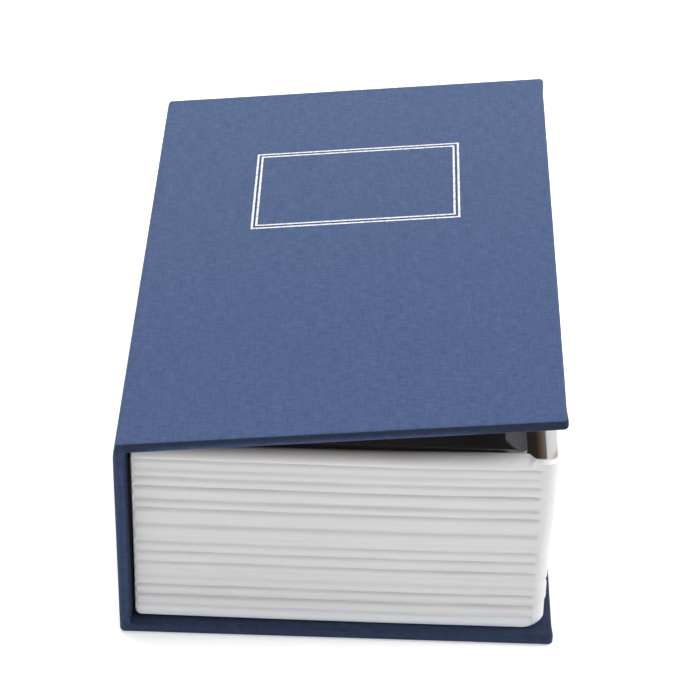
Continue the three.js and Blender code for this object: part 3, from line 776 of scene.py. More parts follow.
cloth = {
    "thick": 0.4,
    "edgeRound": 0.7,
    "cornerRound": 1.4,
    "hingeCornerRound": 0.3,
    "leastRound": 0.05,
    "cornerSteps": 8,
    "foldRound": 1.2,
    "foldSteps": 6,
    "turnIn": 15,
    "hingeTurnIn": 7,  # turn-in beside the hinge
    "hingeSetback": 0.15,  # mitre, back from the hinge line
    "faceInsets": (20, 13, 8.5, 5.5, 3.6, 2.4, 1.6, 1.1),
    "sideShares": (0.3, 0.7),
    "turnInInsets": (1.1, 1.6, 2.4, 3.6, 5.5, 8.5, 12),
    "spacing": 1.6,
    "fineSpacing": 0.4,
    "endMargin": 1.5,  # no stops this close to an end
    "hingeFine": 1,  # reach of the fine spacing beside the hinge, the fore edge, the fold and the tail
    "foreFine": 3,
    "foldFine": 3.5,
    "tailFine": 8,
    "roundSteps": 5,
    "edgeWave": 0.05,
    "wavesPerMm": 0.07,
    "waveUntil": 6,  # the wave fades out towards here on the face
    "waveFade": 5,
    "waveDepth": 0.3,  # share of the wave that goes across the thickness
    "hingePlain": 1,
    "cornerSwell": 0.32,  # folded layers at the fore corners
    "cornerReach": 7,
    "seamDepth": 0.16,  # seam at the ends of the fold
    "seamWidth": 0.5,
    "caseShift": 300,  # moves the weave of the spine and the back cover away from the front cover's
    "spineBulge": 0.48,  # the spine's outside stands out below the cloth joint
    "bulgeTop": 61.2,
    "bulgeRise": 51.2,  # it grows from the underside up to here
    "bulgeEnd": 4,
    "toneFrom": 0.2,  # depth from which the cloth has its painted edge shade
}

edgeShading = {  # painted light and shade on the cloth's edges: how dark it is drawn at the outside, at the inside, and the depths in between
    "front": (1.0, 0.25, 1.3, 2.5),
    "frontPlain": (85, 100, 14, 4),  # towards here the painted light on the inside half fades, and the inside turns as dark as the outside
    "spine": (0.58, 1.13, 2.65, 2.95),
    "spineLitEdge": (0.15, 1.2),  # painted light at its outside edge, and how far it reaches
    "back": (0.74, 0.9, 2.0, 2.95),
}


def nearEnd(depth, inset=0):  # where the cloth ends beside the hinge, at a depth
    c = cloth
    reach = c["foldRound"]
    left = max(0, reach - depth)
    rounded = reach - math.sqrt(reach * reach - left * left)
    return max(inset, rounded, c["hingeSetback"] + depth)


def sleeveRows():
    # (inset from the edges, depth, inset from the hinge, length unrolled past the edge, way out)
    c = cloth
    thick, radius, full = c["thick"], c["edgeRound"], book["cover"]
    rows = [(inset, 0, nearEnd(0, inset), 0, (0, -1)) for inset in c["faceInsets"]]
    for angle in arcSteps(c["roundSteps"]):
        inset, depth = radius * (1 - math.sin(angle)), radius * (1 - math.cos(angle))
        rows.append((inset, depth, nearEnd(depth, inset), 0, (math.sin(angle), -math.cos(angle))))
    for share in c["sideShares"]:
        depth = between(radius, full - radius, share)
        rows.append((0, depth, nearEnd(depth), depth, (1, 0)))
    for angle in arcSteps(c["roundSteps"]):
        inset, depth = radius * (1 - math.cos(angle)), full - radius * (1 - math.sin(angle))
        rows.append((inset, depth, nearEnd(depth), depth, (math.cos(angle), math.sin(angle))))
    for inset in (*c["turnInInsets"], c["turnIn"]):
        share = (inset - radius) / (c["turnIn"] - radius)
        near = between(nearEnd(full), c["hingeTurnIn"], share)
        rows.append((inset, full, near, full + 2 * inset, (0, 1)))
    within, wall = full - thick, 2 * thick
    rows.append((c["turnIn"], within, c["hingeTurnIn"], full, (0, 0)))
    rows.append((thick, within, nearEnd(within) + wall, full, (0, 0)))
    rows.append((thick, thick, nearEnd(thick) + wall, full, (0, 0)))
    rows.append((c["faceInsets"][0], thick, c["faceInsets"][0], full, (0, 0)))
    return rows


# painted light and shade on a cloth edge, at a depth
def toneOf(side, depth):
    outside, inside, start, end = edgeShading[side]
    return between(outside, inside, smoothStep((depth - start) / (end - start)))


def frontTone(u, depth):
    foreFrom, foreTo, hingeFrom, hingeTo = edgeShading["frontPlain"]
    plain = smoothStep((u - foreFrom) / (foreTo - foreFrom))
    plain = max(plain, smoothStep((hingeFrom - u) / (hingeFrom - hingeTo)))
    return between(toneOf("front", depth), edgeShading["front"][0], plain)


def spineTone(depth):
    pale, reach = edgeShading["spineLitEdge"]
    return between(pale, toneOf("spine", depth), smoothStep(depth / reach))


def caseTone(u, depth):
    return spineTone(depth) if u < foldStart + foldLength / 2 else toneOf("back", depth)


def clothSleeve(name, run, stopsU, place, tone, seamAt=None, shift=0):
    c = cloth
    height = book["height"]
    reach = (c["tailFine"], c["tailFine"])
    stopsV = stops(c["endMargin"], height - c["endMargin"], c["spacing"], c["spacing"] / 2, reach)
    rings, wraps = [], []
    for inset, depth, near, wrap, (planOut, depthOut) in sleeveRows():
        nearRadius = max(c["leastRound"], c["hingeCornerRound"] - inset)
        farRadius = max(c["leastRound"], c["cornerRound"] - inset)
        radii = (nearRadius, farRadius, farRadius, nearRadius)
        loop = loopOf(near, run - inset, inset, height - inset, radii, stopsU, stopsV, c["cornerSteps"])
        fade = smoothStep((c["waveUntil"] - inset) / c["waveFade"])
        ring, spots = [], []
        for u, v, outU, outV in loop:
            wave = noise.noise(Vector((u, v, depth)) * c["wavesPerMm"]) * c["edgeWave"]
            fromCorner = min(v, height - v)
            fold = c["cornerSwell"] * max(0, outU) * smoothStep(1 - fromCorner / c["cornerReach"])
            swell = (wave + fold) * math.hypot(planOut, depthOut) * fade
            if u < near + c["hingePlain"]:
                swell = 0
            seam = 0
            if seamAt is not None and abs(outV) > 0.5:
                seam = c["seamDepth"] * planOut * max(0, 1 - seamAt(u, depth) / c["seamWidth"])
            side = swell * planOut - seam
            ring.append(place(u + outU * side, v + outV * side, depth + depthOut * swell * c["waveDepth"]))
            dark = 0 if depth < c["toneFrom"] else tone(u, depth)
            spots.append((u + outU * wrap + shift, v + outV * wrap, dark))
        rings.append(ring)
        wraps.append(spots)
    bridge = (c["cornerSteps"] + 1, len(stopsU), len(stopsV))
    return finishMesh(ringMesh(rings, wraps=wraps, bridge=bridge), name)


def placeFront(u, v, depth):
    return ajarTurn @ inFrame(u, v, book["thickness"] - depth)


# The spine and the back cover share one sleeve, folded round the book's lower left edge
foldRadius = cloth["foldRound"]
foldStart = book["thickness"] - foldRadius
foldLength = math.pi / 2 * foldRadius
caseRun = foldStart + foldLength + book["width"] - foldRadius


def foldSection(u, depth):  # (x, z) of a point of the sleeve that runs down the spine
    turn = clamp((u - foldStart) / foldRadius, 0, math.pi / 2)
    left = max(0, foldRadius - depth)
    if u <= foldStart:
        return depth, max(book["thickness"] - u, depth)
    if u >= foldStart + foldLength:
        return max(foldRadius + u - foldStart - foldLength, depth), depth
    if depth > foldRadius:
        return depth, depth
    return foldRadius - left * math.cos(turn), foldRadius - left * math.sin(turn)


def spineBulge(z):  # how far the spine stands out at a height
    c = cloth
    return c["spineBulge"] * clamp(z / c["bulgeRise"], 0, 1) * smoothStep((c["bulgeTop"] - z) / c["bulgeEnd"])


def placeCase(u, v, depth):
    x, z = foldSection(u, depth)
    out = spineBulge(z) if u < foldStart else 0
    return inFrame(max(x, 0) - out, v, max(z, 0))


def offDiagonal(u, depth):
    x, z = foldSection(u, depth)
    return abs(x - z) / math.sqrt(2)


def makeCloth():
    c = cloth
    coarse, fine, margin = c["spacing"], c["fineSpacing"], c["endMargin"]
    coverStops = stops(margin, book["width"] - margin, coarse, fine, (c["hingeFine"], c["foreFine"]))
    front = clothSleeve("frontCoverCloth", book["width"], coverStops, placeFront, frontTone)
    makePiece("frontCoverCloth", front, "front_cover", "book_cloth", ["front_cover_cloth"])
    caseStops = stops(margin, foldStart, coarse, fine, (c["hingeFine"], c["foldFine"]))
    caseStops += [foldStart + foldLength * step / c["foldSteps"] for step in range(c["foldSteps"] + 1)]
    caseStops += stops(foldStart + foldLength, caseRun - margin, coarse, fine, (c["foldFine"], c["foreFine"]))
    case = clothSleeve("caseCloth", caseRun, caseStops, placeCase, caseTone, offDiagonal, c["caseShift"])
    makePiece("caseCloth", case, "root", "book_cloth", ["spine_cloth", "back_cover_cloth"])
    print("cloth sleeves made")


makeCloth()


# Cloth joint: the strip of the cloth that bends between the spine and the front cover

joint = {
    "reach": 3.2,  # along the spine and along the cover
    "proud": 0.04,
    "ends": -0.02,  # how proud its two edges are
    "endPower": 8,
    "sunk": 0.22,
    "leastRadius": 0.02,
    "endDepths": (2.6, 1.7),  # how far it turns in over the tail and the head
    "endSteps": 5,
    "across": 20,
    "spacing": 1.6,
}


def jointSection(share, depth):  # share of the way from the spine, through the corner, to the cover
    radius = max(joint["leastRadius"], foldRadius - depth)
    corner = max(foldRadius, depth + radius)
    straight, bend = joint["reach"] - corner, math.pi / 2 * radius
    gone = share * (2 * straight + bend)
    if gone < straight:
        return depth, book["thickness"] - joint["reach"] + gone
    if gone > straight + bend:
        return corner + gone - straight - bend, book["thickness"] - depth
    turn = (gone - straight) / radius
    return corner - radius * math.cos(turn), book["thickness"] - corner + radius * math.sin(turn)


def makeJoint():
    j = joint
    height, radius = book["height"], cloth["edgeRound"]
    total = 2 * (j["reach"] - foldRadius) + foldLength
    shares = [step / j["across"] for step in range(j["across"] + 1)]
    path = [(0, depth, -1, 0) for depth in j["endDepths"]]
    for angle in arcSteps(j["endSteps"]):
        out, up = math.cos(angle), math.sin(angle)
        path.append((radius - radius * out, radius - radius * up, -out, up))
    headEnd = [(height - v, depth, -out, up) for v, depth, out, up in reversed(path)]
    path += [(v, 0, 0, 1) for v in stops(radius, height - radius, j["spacing"], j["spacing"], (0, 0))[1:]]
    path += headEnd
    low = Vector((spineLow.x, 0, (book["thickness"] - j["reach"]) * mm))
    high = ajarTurn @ Vector((spineLow.x + j["reach"] * mm, 0, book["thickness"] * mm))
    way = high - low

    def point(share, row, offset):
        v, depth, out, up = row
        x, z = jointSection(share, depth - offset * up)
        spot = inFrame(x - spineBulge(z), v + out * offset, z)
        flat = Vector((spot.x, 0, spot.z))
        turned = smoothStep((flat - low).dot(way) / way.length_squared)
        angle = math.radians(book["ajar"]) * turned
        bend = Matrix.Rotation(angle, 3, Vector(coverHinge["axis"]))
        return hingePoint + bend @ (spot - hingePoint)

    rings, wraps = [], []
    for row in path:
        ends = [abs(2 * share - 1) for share in shares]
        outside = [between(j["proud"], j["ends"], end ** j["endPower"]) for end in ends]
        ring = [point(share, row, offset) for share, offset in zip(shares, outside)]
        ring += [point(share, row, -j["sunk"]) for share in reversed(shares)]
        along = [share * total - total / 2 for share in shares]
        # painted shade on the joint's turned ends
        dark = 0 if row[1] < cloth["toneFrom"] else 1
        spots = [(u, row[0] - row[1], dark * between(spineTone(1), 1, u / total + 0.5)) for u in along]
        rings.append(ring)
        wraps.append(spots + spots[::-1])
    mesh = finishMesh(ringMesh(rings, wraps=wraps), "hingeCloth")
    piece = makePiece("hingeCloth", mesh, None, "book_cloth", limitDegrees=50)
    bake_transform(piece, "root", "front_cover", start=tuple(low), end=tuple(high))
    print("cloth joint made")


makeJoint()


# Foil frame

def foilLine(name, place):
    f = foil
    left, right, low, high = place
    edge, line, space = f["edge"], f["line"], f["spacing"]
    rows = [(0, -f["sunk"]), (0, f["proud"] / 2), (edge, f["proud"])]
    rows += [(line - edge, f["proud"]), (line, f["proud"] / 2), (line, -f["sunk"])]
    stopsU = stops(left + space, right - space, space, space, (0, 0))
    stopsV = stops(low + space, high - space, space, space, (0, 0))
    radii = (f["cornerRound"],) * 4
    rings = []
    for inset, proud in rows:
        sides = (left + inset, right - inset, low + inset, high - inset)
        loop = loopOf(*sides, radii, stopsU, stopsV, f["cornerSteps"])
        ring = []
        for u, v, outU, outV in loop:
            wave = f["wobble"] * noise.noise(Vector((u, v, inset * f["sidesApart"])) * f["wobblesPerMm"])
            ring.append(placeFront(u + outU * wave, v + outV * wave, -proud))
        rings.append(ring)
    rings.append(rings[0])
    mesh = finishMesh(ringMesh(rings, closeFirst=False, closeLast=False), name)
    makePiece(name, mesh, "front_cover", "book_cloth", finishName="foil", limitDegrees=60)


foilLine("foilFrameOuter", foil["outer"])
foilLine("foilFrameInner", foil["inner"])
print("foil frame made")


# Page shell: the ribbed outside is drawn as loops from the foot to the rim; from there the loops
# go over the lip, down the ledge or the pocket beside the fore wall, and down the inside.

shell = {
    "left": (shellLow.x - spineLow.x) / mm,
    "right": (shellHigh.x - spineLow.x) / mm,
    "tail": (shellLow.y - spineLow.y) / mm,
    "head": (shellHigh.y - spineLow.y) / mm,
    "foot": shellLow.z / mm - 0.07,
    "rim": shellHigh.z / mm,
    "spineWall": 2.4,
    "foreWall": 2.5,
    "tailWall": 3,
    "floor": 1.8,
    "foreCorner": 3.2,
    "spineCorner": 1,
    "cornerSteps": 12,
    "foreFoot": 4,
    "sideFoot": 0.35,
    "spineFoot": 1.4,
    "footBow": 6,  # up to this height above it, the foot bows up to the spine as the ribs do
    "spineLean": (0.1, 0.45),  # the spine face leans out, at the foot and at the rim
    "lean": 0.75,  # the tail and head faces lean out to the foot
    "leanTop": 28,
    "footStep": 0.3,  # the fore face stands back this far below the ribs
    "footStepTop": 12.2,
    "footStepRise": 1.2,
    "foreGroove": (17.5, 1.6, 0.4),  # height, half width and depth
    "foreLean": 0.8,  # the fore face leans out to the rim
    "foreLeanFrom": 27,
    "foreLeanBend": 14,  # first it leans out along a curve of this height
    "foreLeanRest": 15,  # and then evenly over this one
    "foreLeanShare": 0.75,  # how much of it the curve takes
    "edgeRound": 0.22,
    "rimDown": 2.9,  # rounded rim of the tail and head walls
    "rimInside": 1.2,
    "rimFlat": 0.05,
    "plainRim": (0.4, 0.45),  # across and down, where the rim isn't rounded
    "narrowRim": 0.9,  # a rim this narrow isn't rounded
    "rimWidens": 1.8,
    "rimSteps": 14,
    "insideSteps": 5,
    "bendSteps": 2,
    "crispFrom": 105,  # towards here the rim's inner edge turns crisp
    "crispReach": 45,
    "ledgeOpens": 6.5,  # from here the ledge runs out over the fore face
    "ledgeOpensOver": 4,
    "ledgeStep": 0.02,  # what is left of the lip there
    "floorRound": 1,
    "floorSteps": 4,
    "ledgeDepth": 1.2,
    "ledgeLip": 0.7,
    "ledgeCorner": 1.7,
    "pocketDepth": 3,
    "pocketWall": 0.8,
    "pocketLength": 4.9,
    "pocketSlope": 2.3,
    "pocketMargin": 0.5,
    "pocketWallUnder": 1,  # the inside is upright this far below the pocket
    "bossRadius": 4,
    "bossHeight": 3.5,
    "bossInset": 9,
    "boreRadius": 1.45,
    "boreFloor": 0.8,
    "bossFillet": (0.5, 0.15),  # its reach and its middle
    "bossChamfer": 0.3,
    "boreChamfer": 0.2,
    "bossSides": 32,
    "levelStep": 0.27,
    "footLevels": (0.12, 8),  # step and count
    "spacing": 2,
    "fineSpacing": 0.35,
    "slopeSpacing": 0.25,
    "spineFine": 1.6,  # reach of the fine spacing at the spine and at the fore corners
    "foreFine": 2.2,
    "foreFacing": 0.7,  # a way out this far along x belongs to the fore face
    "ledgeFacing": 0.5,
    "straight": -0.99,  # a way out this far along y belongs to the straight tail wall
}

ribs = {
    "lines": (  # height of the deepest place, depth, length above and below it, softness
        (54.14, 0.3, 0.45, 1.1, 0),
        (52.3, 0.06, 0.4, 0.5, 0.2),
        (51.29, 0.18, 1.6, 1.2, 0.6),
        (48.41, 0.28, 1.6, 1.4, 0.5),
        (45.4, 0.44, 1.4, 1.3, 0),
        (41.1, 0.34, 2.6, 1.3, 0.4),
        (38.33, 0.37, 1.3, 1.4, 0.2),
        (32.87, 0.34, 2.8, 1.4, 0.4),
        (29.5, 0.06, 1.0, 0.7, 0.2),
        (27.2, 0.27, 1.5, 1.3, 0.5),
        (24.1, 0.35, 1.3, 1.3, 0),
        (20.62, 0.35, 1.4, 1.1, 0.1),
        (18.62, 0.07, 0.8, 0.7, 0.1),
        (15.88, 0.18, 1.6, 1.3, 0.5),
        (13.13, 0.37, 1.0, 1.1, 0),
        (9.73, 0.43, 1.4, 1.3, 0.1),
        (5.86, 0.32, 1.8, 1.5, 0.4),
    ),
    "strength": 1.7,
    "shadeAbove": 0.4,  # length of the painted shade above a groove's deepest place
    "shadePower": 1.4,
    "deepest": 0.45,
    "wander": 0.08,  # how far a rib's line strays up and down
    # noise: per millimetre along, per line or millimetre up, per face, moved by, weight
    "stray": ((0.028, 3.7, 11.3, 0, 1), (0.11, 5.1, 7.9, 0, 0.35)),
    "uneven": ((0.05, 2.3, 1, 0, 0.2),),
    "fine": ((0.02, 1.15, 5, 0, 1), (0.035, 2.3, 3, 40, 0.6)),
    "fineDepth": 0.06,
    "bow": (74, 0.5, 0.336, 0.588),  # lowest place across, rise at the spine, at the fore foot and fore rim
    "bowPower": 1.5,
    "fade": 1.8,  # length over which a rib runs out at its end
    "spineFade": 0.3,
    "footFade": 1.6,
    "rimFade": 0.8,
    "tailEnd": (110.2, 110.1, 1.15),  # where the tail and head faces' ribs end: foot, rim, how fast
    "foreMargin": 3.4,
    "spineSlack": 0.1,
}


foreFace, tailFace, headFace = 1, 2, 3  # each has its own noise


def ribBow(x, height):  # the lines of the tail and head faces sag a little between their ends
    lowest, spineRise, footRise, rimRise = ribs["bow"]
    if x < lowest:
        return spineRise * ((lowest - x) / (lowest - shell["left"])) ** ribs["bowPower"]
    away = (x - lowest) / (shell["right"] - lowest)
    return between(footRise, rimRise, height / shell["rim"]) * away * away


def layered(layers, run, line, face):
    return sum(
        weight * noise.noise(Vector((run * along, line * up, face * apart + moved)))
        for along, up, apart, moved, weight in layers
    )


def ribLines(run, face):
    # heights, depths and lengths of the ribs at a place along a face
    r = ribs
    lines = []
    for number, (height, depth, above, below, softness) in enumerate(r["lines"]):
        stray = layered(r["stray"], run, number, face) * r["wander"]
        if face != foreFace:
            stray += ribBow(run, height)
        depth *= 1 + layered(r["uneven"], run, number, face)
        lines.append((height + stray, depth, above, below, softness))
    return lines


def ribDepthAt(lines, height, run, face):
    # depth and painted shade at a height
    r = ribs
    deepest = soil = 0
    for middle, depth, above, below, softness in lines:
        away = height - middle
        left = 1 - (away / above if away > 0 else -away / below)
        if left > 0:
            deepest = max(deepest, depth * between(left * left, smoothStep(left), softness))
        reach = between(r["shadeAbove"], above, softness) if away > 0 else below
        soil = max(soil, depth / r["deepest"] * max(0, 1 - abs(away) / reach) ** r["shadePower"])
    fine = 0.5 + layered(r["fine"], run, height, face)
    return r["strength"] * max(0, deepest + r["fineDepth"] * fine), soil


def foreLean(height):
    s = shell
    above = height - s["foreLeanFrom"]
    first = smoothStep(above / s["foreLeanBend"])
    last = clamp((above - s["foreLeanBend"]) / s["foreLeanRest"], 0, 1)
    return s["foreLean"] * between(last, first, s["foreLeanShare"])


def ribFade(x, y, height):
    s, r = shell, ribs
    fromEnd = min(y - s["tail"], s["head"] - y)
    if x > s["right"] - s["foreCorner"] / 2 and fromEnd > r["foreMargin"]:
        return smoothStep((fromEnd - r["foreMargin"]) / r["fade"])
    if fromEnd < s["foreCorner"] and x > s["left"] - r["spineSlack"]:
        atFoot, atRim, fast = r["tailEnd"]
        share = (height - s["foot"]) / (s["rim"] - s["foot"])
        foreEnd = between(atFoot, atRim, smoothStep(share * fast))
        return smoothStep((foreEnd - x) / r["fade"]) * smoothStep((x - s["left"]) / r["spineFade"])
    return 0


def footInset(radius, height):
    left = max(0, radius - (height - shell["foot"]))
    return radius - math.sqrt(radius * radius - left * left)


def shellStations():
    s = shell
    slopeStart = s["right"] - s["foreWall"] - s["pocketLength"] - s["pocketMargin"]
    tailStart, tailEnd = s["left"] + s["spineCorner"], s["right"] - s["foreCorner"]
    foreStart, foreEnd = s["tail"] + s["foreCorner"], s["head"] - s["foreCorner"]
    coarse, fine, slope = s["spacing"], s["fineSpacing"], s["slopeSpacing"]
    stopsX = stops(tailStart, slopeStart, coarse, fine, (s["spineFine"], 0))
    stopsX += stops(slopeStart, tailEnd, slope, slope, (0, 0))
    return stopsX, stops(foreStart, foreEnd, coarse, fine, (s["foreFine"], s["foreFine"]))


def outsideRings(stopsX, stopsY):
    s = shell
    top = s["rim"] - s["rimDown"]
    footStep, footCount = s["footLevels"]
    levels = [s["foot"] + footStep * step for step in range(footCount)]
    count = round((top - levels[-1]) / s["levelStep"])
    levels += [between(levels[-1], top, (step + 1) / count) for step in range(count)]
    rings, ribShades, lineCache = [], [], {}
    for height in levels:
        lifted = smoothStep(1 - (height - s["foot"]) / s["footBow"])
        down = clamp(1 - (height - s["foot"]) / s["leanTop"], 0, 1)
        side = footInset(s["sideFoot"], height) - s["lean"] * down * down
        step = s["footStep"] * smoothStep((s["footStepTop"] - height) / s["footStepRise"])
        middle, half, depth = s["foreGroove"]
        step += depth * smoothStep(1 - abs(height - middle) / half)
        fore = max(footInset(s["foreFoot"], height), step) - foreLean(height)
        near = footInset(s["spineFoot"], height) - between(*s["spineLean"], height / s["rim"])
        radii = (s["spineCorner"], s["foreCorner"], s["foreCorner"], s["spineCorner"])
        sides = (s["left"] + near, s["right"] - fore, s["tail"] + side, s["head"] - side)
        loop = loopOf(*sides, radii, stopsX, stopsY, s["cornerSteps"])
        ring, ringShade = [], []
        for number, (x, y, outX, outY) in enumerate(loop):
            fade = ribFade(x, y, height)
            cut = soil = 0
            if fade > 0:
                face = foreFace if outX > s["foreFacing"] else (tailFace if outY < 0 else headFace)
                run = y if face == foreFace else x
                if number not in lineCache:
                    lineCache[number] = ribLines(run, face)
                cut, soil = ribDepthAt(lineCache[number], height, run, face)
                fade *= smoothStep((height - s["foot"]) / ribs["footFade"])
                fade *= smoothStep((top - height) / ribs["rimFade"])
            lift = ribBow(min(x, ribs["bow"][0]), height) * lifted
            ring.append(inFrame(x - outX * cut * fade, y - outY * cut * fade, height + lift))
            ringShade.append((soil * fade, 0, 0))
        rings.append(ring)
        ribShades.append(ringShade)
    return rings, ribShades, loop


def lipPlace(x, y, outX, outY):
    # inner edge of the lip beside an outside point of the rim, the ledge's depth there, and the
    # edge of the inside; the head end mirrors the tail end
    s = shell
    middle = (s["tail"] + s["head"]) / 2
    flipped = y > middle
    if flipped:
        y, outY = 2 * middle - y, -outY
    innerLeft, innerRight = s["left"] + s["spineWall"], s["right"] - s["foreWall"]
    innerTail = s["tail"] + s["tailWall"]
    rimRight = s["right"] + foreLean(s["rim"])
    lipTail, lipFore = s["tail"] + s["pocketWall"], rimRight - s["ledgeLip"]
    pocketStart = innerRight - s["pocketLength"]
    edge = (clamp(x, innerLeft, innerRight), max(y, innerTail))
    cornerStart = rimRight - s["foreCorner"]
    if x <= cornerStart and outY < s["straight"]:
        share = (x - pocketStart) / s["pocketSlope"]
        lip = (edge[0], between(innerTail, lipTail, smoothStep(share)))
        depth = s["pocketDepth"]
    elif x > cornerStart and y < s["tail"] + s["foreCorner"] and outX > 0:
        bend = s["ledgeCorner"]
        first, rounded = lipFore - bend - cornerStart, math.pi / 2 * bend
        last = s["foreCorner"] - s["pocketWall"] - bend
        gone = math.degrees(math.atan2(outX, -outY)) / quarterTurn * (first + rounded + last)
        if gone < first:
            lip = (cornerStart + gone, lipTail)
        elif gone < first + rounded:
            turn = (gone - first) / bend
            lip = (lipFore - bend + bend * math.sin(turn), lipTail + bend - bend * math.cos(turn))
        else:
            lip = (lipFore, lipTail + bend + gone - first - rounded)
        inPocket = lip[0] < innerRight
        depth = s["pocketDepth"] if inPocket else s["ledgeDepth"]
        edge = (min(lip[0], innerRight) if inPocket else innerRight, innerTail)
    elif outX > s["ledgeFacing"]:
        lip, depth = (lipFore, y), s["ledgeDepth"]
        edge = (innerRight, max(y, innerTail))
    else:
        lip, depth = edge, s["pocketDepth"]
    if flipped:
        lip, edge = (lip[0], 2 * middle - lip[1]), (edge[0], 2 * middle - edge[1])
    return lip, depth, edge


def rimRounding(x, outY, width):  # across, down and inside, on a lip of this width
    s = shell
    side = outY * outY
    share = smoothStep((width - s["narrowRim"]) / s["rimWidens"]) * side
    farFrom = smoothStep((s["crispFrom"] - x) / s["crispReach"])
    inside = between(s["edgeRound"], s["rimInside"], share * farFrom)
    plainAcross, plainDown = s["plainRim"]
    across = between(plainAcross, width - inside - s["rimFlat"], side)
    return across, between(plainDown, s["rimDown"], share), inside


def insideColumn(x, y, outX, outY):  # from the outside of the rim to the edge of the floor
    s = shell
    rim = s["rim"]
    lip, depth, edge = lipPlace(x, y, outX, outY)
    outer, lip, edge = Vector((x, y)), Vector(lip), Vector(edge)
    inward, across = (lip - outer).normalized(), (edge - lip).normalized()
    bend = min(s["edgeRound"], (edge - lip).length / 3)
    bottom, top = rim - depth, rim
    if outX > s["ledgeFacing"] and depth == s["ledgeDepth"]:
        fromEnd = min(y, s["tail"] + s["head"] - y)
        top -= (depth - s["ledgeStep"]) * smoothStep((fromEnd - s["ledgeOpens"]) / s["ledgeOpensOver"])
    wide, deep, inside = rimRounding(x, outY, (lip - outer).length)
    inside = min(inside, (top - bottom) / 2)
    start = rim - s["rimDown"]
    upright, curved = max(0, top - deep - start), math.pi / 2 * math.hypot(wide, deep) / math.sqrt(2)
    column = []
    for step in range(1, s["rimSteps"] + 1):
        gone = (upright + curved) * step / s["rimSteps"]
        a = max(0, gone - upright) / curved * math.pi / 2
        spot = outer + inward * wide * (1 - math.cos(a))
        column.append((spot, start + min(gone, upright) + deep * math.sin(a)))
    for a in arcSteps(s["insideSteps"]):
        column.append((lip - inward * inside * (1 - math.sin(a)), top - inside * (1 - math.cos(a))))
    foot = min(bend, top - bottom - inside)
    for a in arcSteps(s["bendSteps"]):
        column.append((lip + across * bend * (1 - math.cos(a)), bottom + foot * (1 - math.sin(a))))
    for a in arcSteps(s["bendSteps"]):
        column.append((edge - across * bend * (1 - math.sin(a)), bottom - bend * (1 - math.cos(a))))
    column.append((edge, rim - s["pocketDepth"] - s["pocketWallUnder"]))
    points = [inFrame(spot.x, spot.y, z) for spot, z in column]
    floorTop, bend = s["foot"] + s["floor"], s["floorRound"]
    for a in arcSteps(s["floorSteps"]):
        inset = bend * (1 - math.cos(a))
        spotX = clamp(edge.x, s["left"] + s["spineWall"] + inset, s["right"] - s["foreWall"] - inset)
        spotY = clamp(edge.y, s["tail"] + s["tailWall"] + inset, s["head"] - s["tailWall"] - inset)
        points.append(inFrame(spotX, spotY, floorTop + bend * (1 - math.sin(a))))
    return points


def ringRound(bm, x, y, radius, z, sides):  # a ring of vertices round a place of the frame
    angles = [2 * math.pi * step / sides for step in range(sides)]
    return [bm.verts.new((x + radius * math.cos(a), y + radius * math.sin(a), z)) for a in angles]


def addBosses(bm):  # the floor of the shell, with a bored boss under each screw of the box
    s = shell
    floorTop, top = s["foot"] + s["floor"], s["foot"] + s["floor"] + s["bossHeight"]
    radius, bore, sides = s["bossRadius"], s["boreRadius"], s["bossSides"]
    reach, middle = s["bossFillet"]
    chamfer, boreChamfer = s["bossChamfer"], s["boreChamfer"]
    profile = [(radius + reach, floorTop), (radius + middle, floorTop + middle), (radius, floorTop + reach)]
    profile += [(radius, top - chamfer), (radius - chamfer, top), (bore + boreChamfer, top)]
    profile += [(bore, top - boreChamfer), (bore, s["foot"] + s["boreFloor"])]
    border = [edge for edge in bm.edges if edge.is_boundary]
    inset = s["bossInset"] * mm
    for x in (boxLow.x + inset, boxHigh.x - inset):
        for y in (boxLow.y + inset, boxHigh.y - inset):
            rings = [ringRound(bm, x, y, r * mm, z * mm, sides) for r, z in profile]
            for low, high in zip(rings, rings[1:]):
                for k in range(sides):
                    n = (k + 1) % sides
                    bm.faces.new((low[k], low[n], high[n], high[k]))
            bm.faces.new(rings[-1])
            border += [edge for edge in bm.edges if edge.is_boundary and edge.verts[0] in rings[0]]
    bmesh.ops.triangle_fill(bm, use_beauty=True, use_dissolve=False, edges=border)


def makeShell():
    rings, ribShades, loop = outsideRings(*shellStations())
    columns = [insideColumn(*station) for station in loop]
    rings += [list(ring) for ring in zip(*columns)]
    bm = ringMesh(rings, closeLast=False, wraps=ribShades, layer="soil")
    addBosses(bm)
    openEdges = sum(len(edge.link_faces) != 2 for edge in bm.edges)
    mesh = finishMesh(bm, "pageShell")
    makePiece("pageShell", mesh, "root", "page_plastic", ["page_shell"], limitDegrees=40)
    print("page shell made:", len(mesh.polygons), "faces,", openEdges, "open edges")


makeShell()


# Metal pieces get a small rounding on their edges, so that they catch the light

softEdges = {  # rounding, for each piece or numbered row of pieces
    "safe_box": 0.16,
    "safe_lid": 0.16,
    "hinge_pin": 0.2,
    "box_screw": 0.08,
    "lock_body": 0.18,
    "lock_washer": 0.1,
    "lock_nut": 0.2,
    "lock_plug": 0.1,
    "lock_cam": 0.18,
    "cam_screw": 0.1,
    "lock_wafer": 0.04,
}
bevelLook = {
    "sharpFrom": 32,  # degrees between faces
    "flatBelow": 1,  # degrees between faces that are joined first
    "weld": 0.002,
    "weldAfter": 0.001,
    "segments": 2,
}


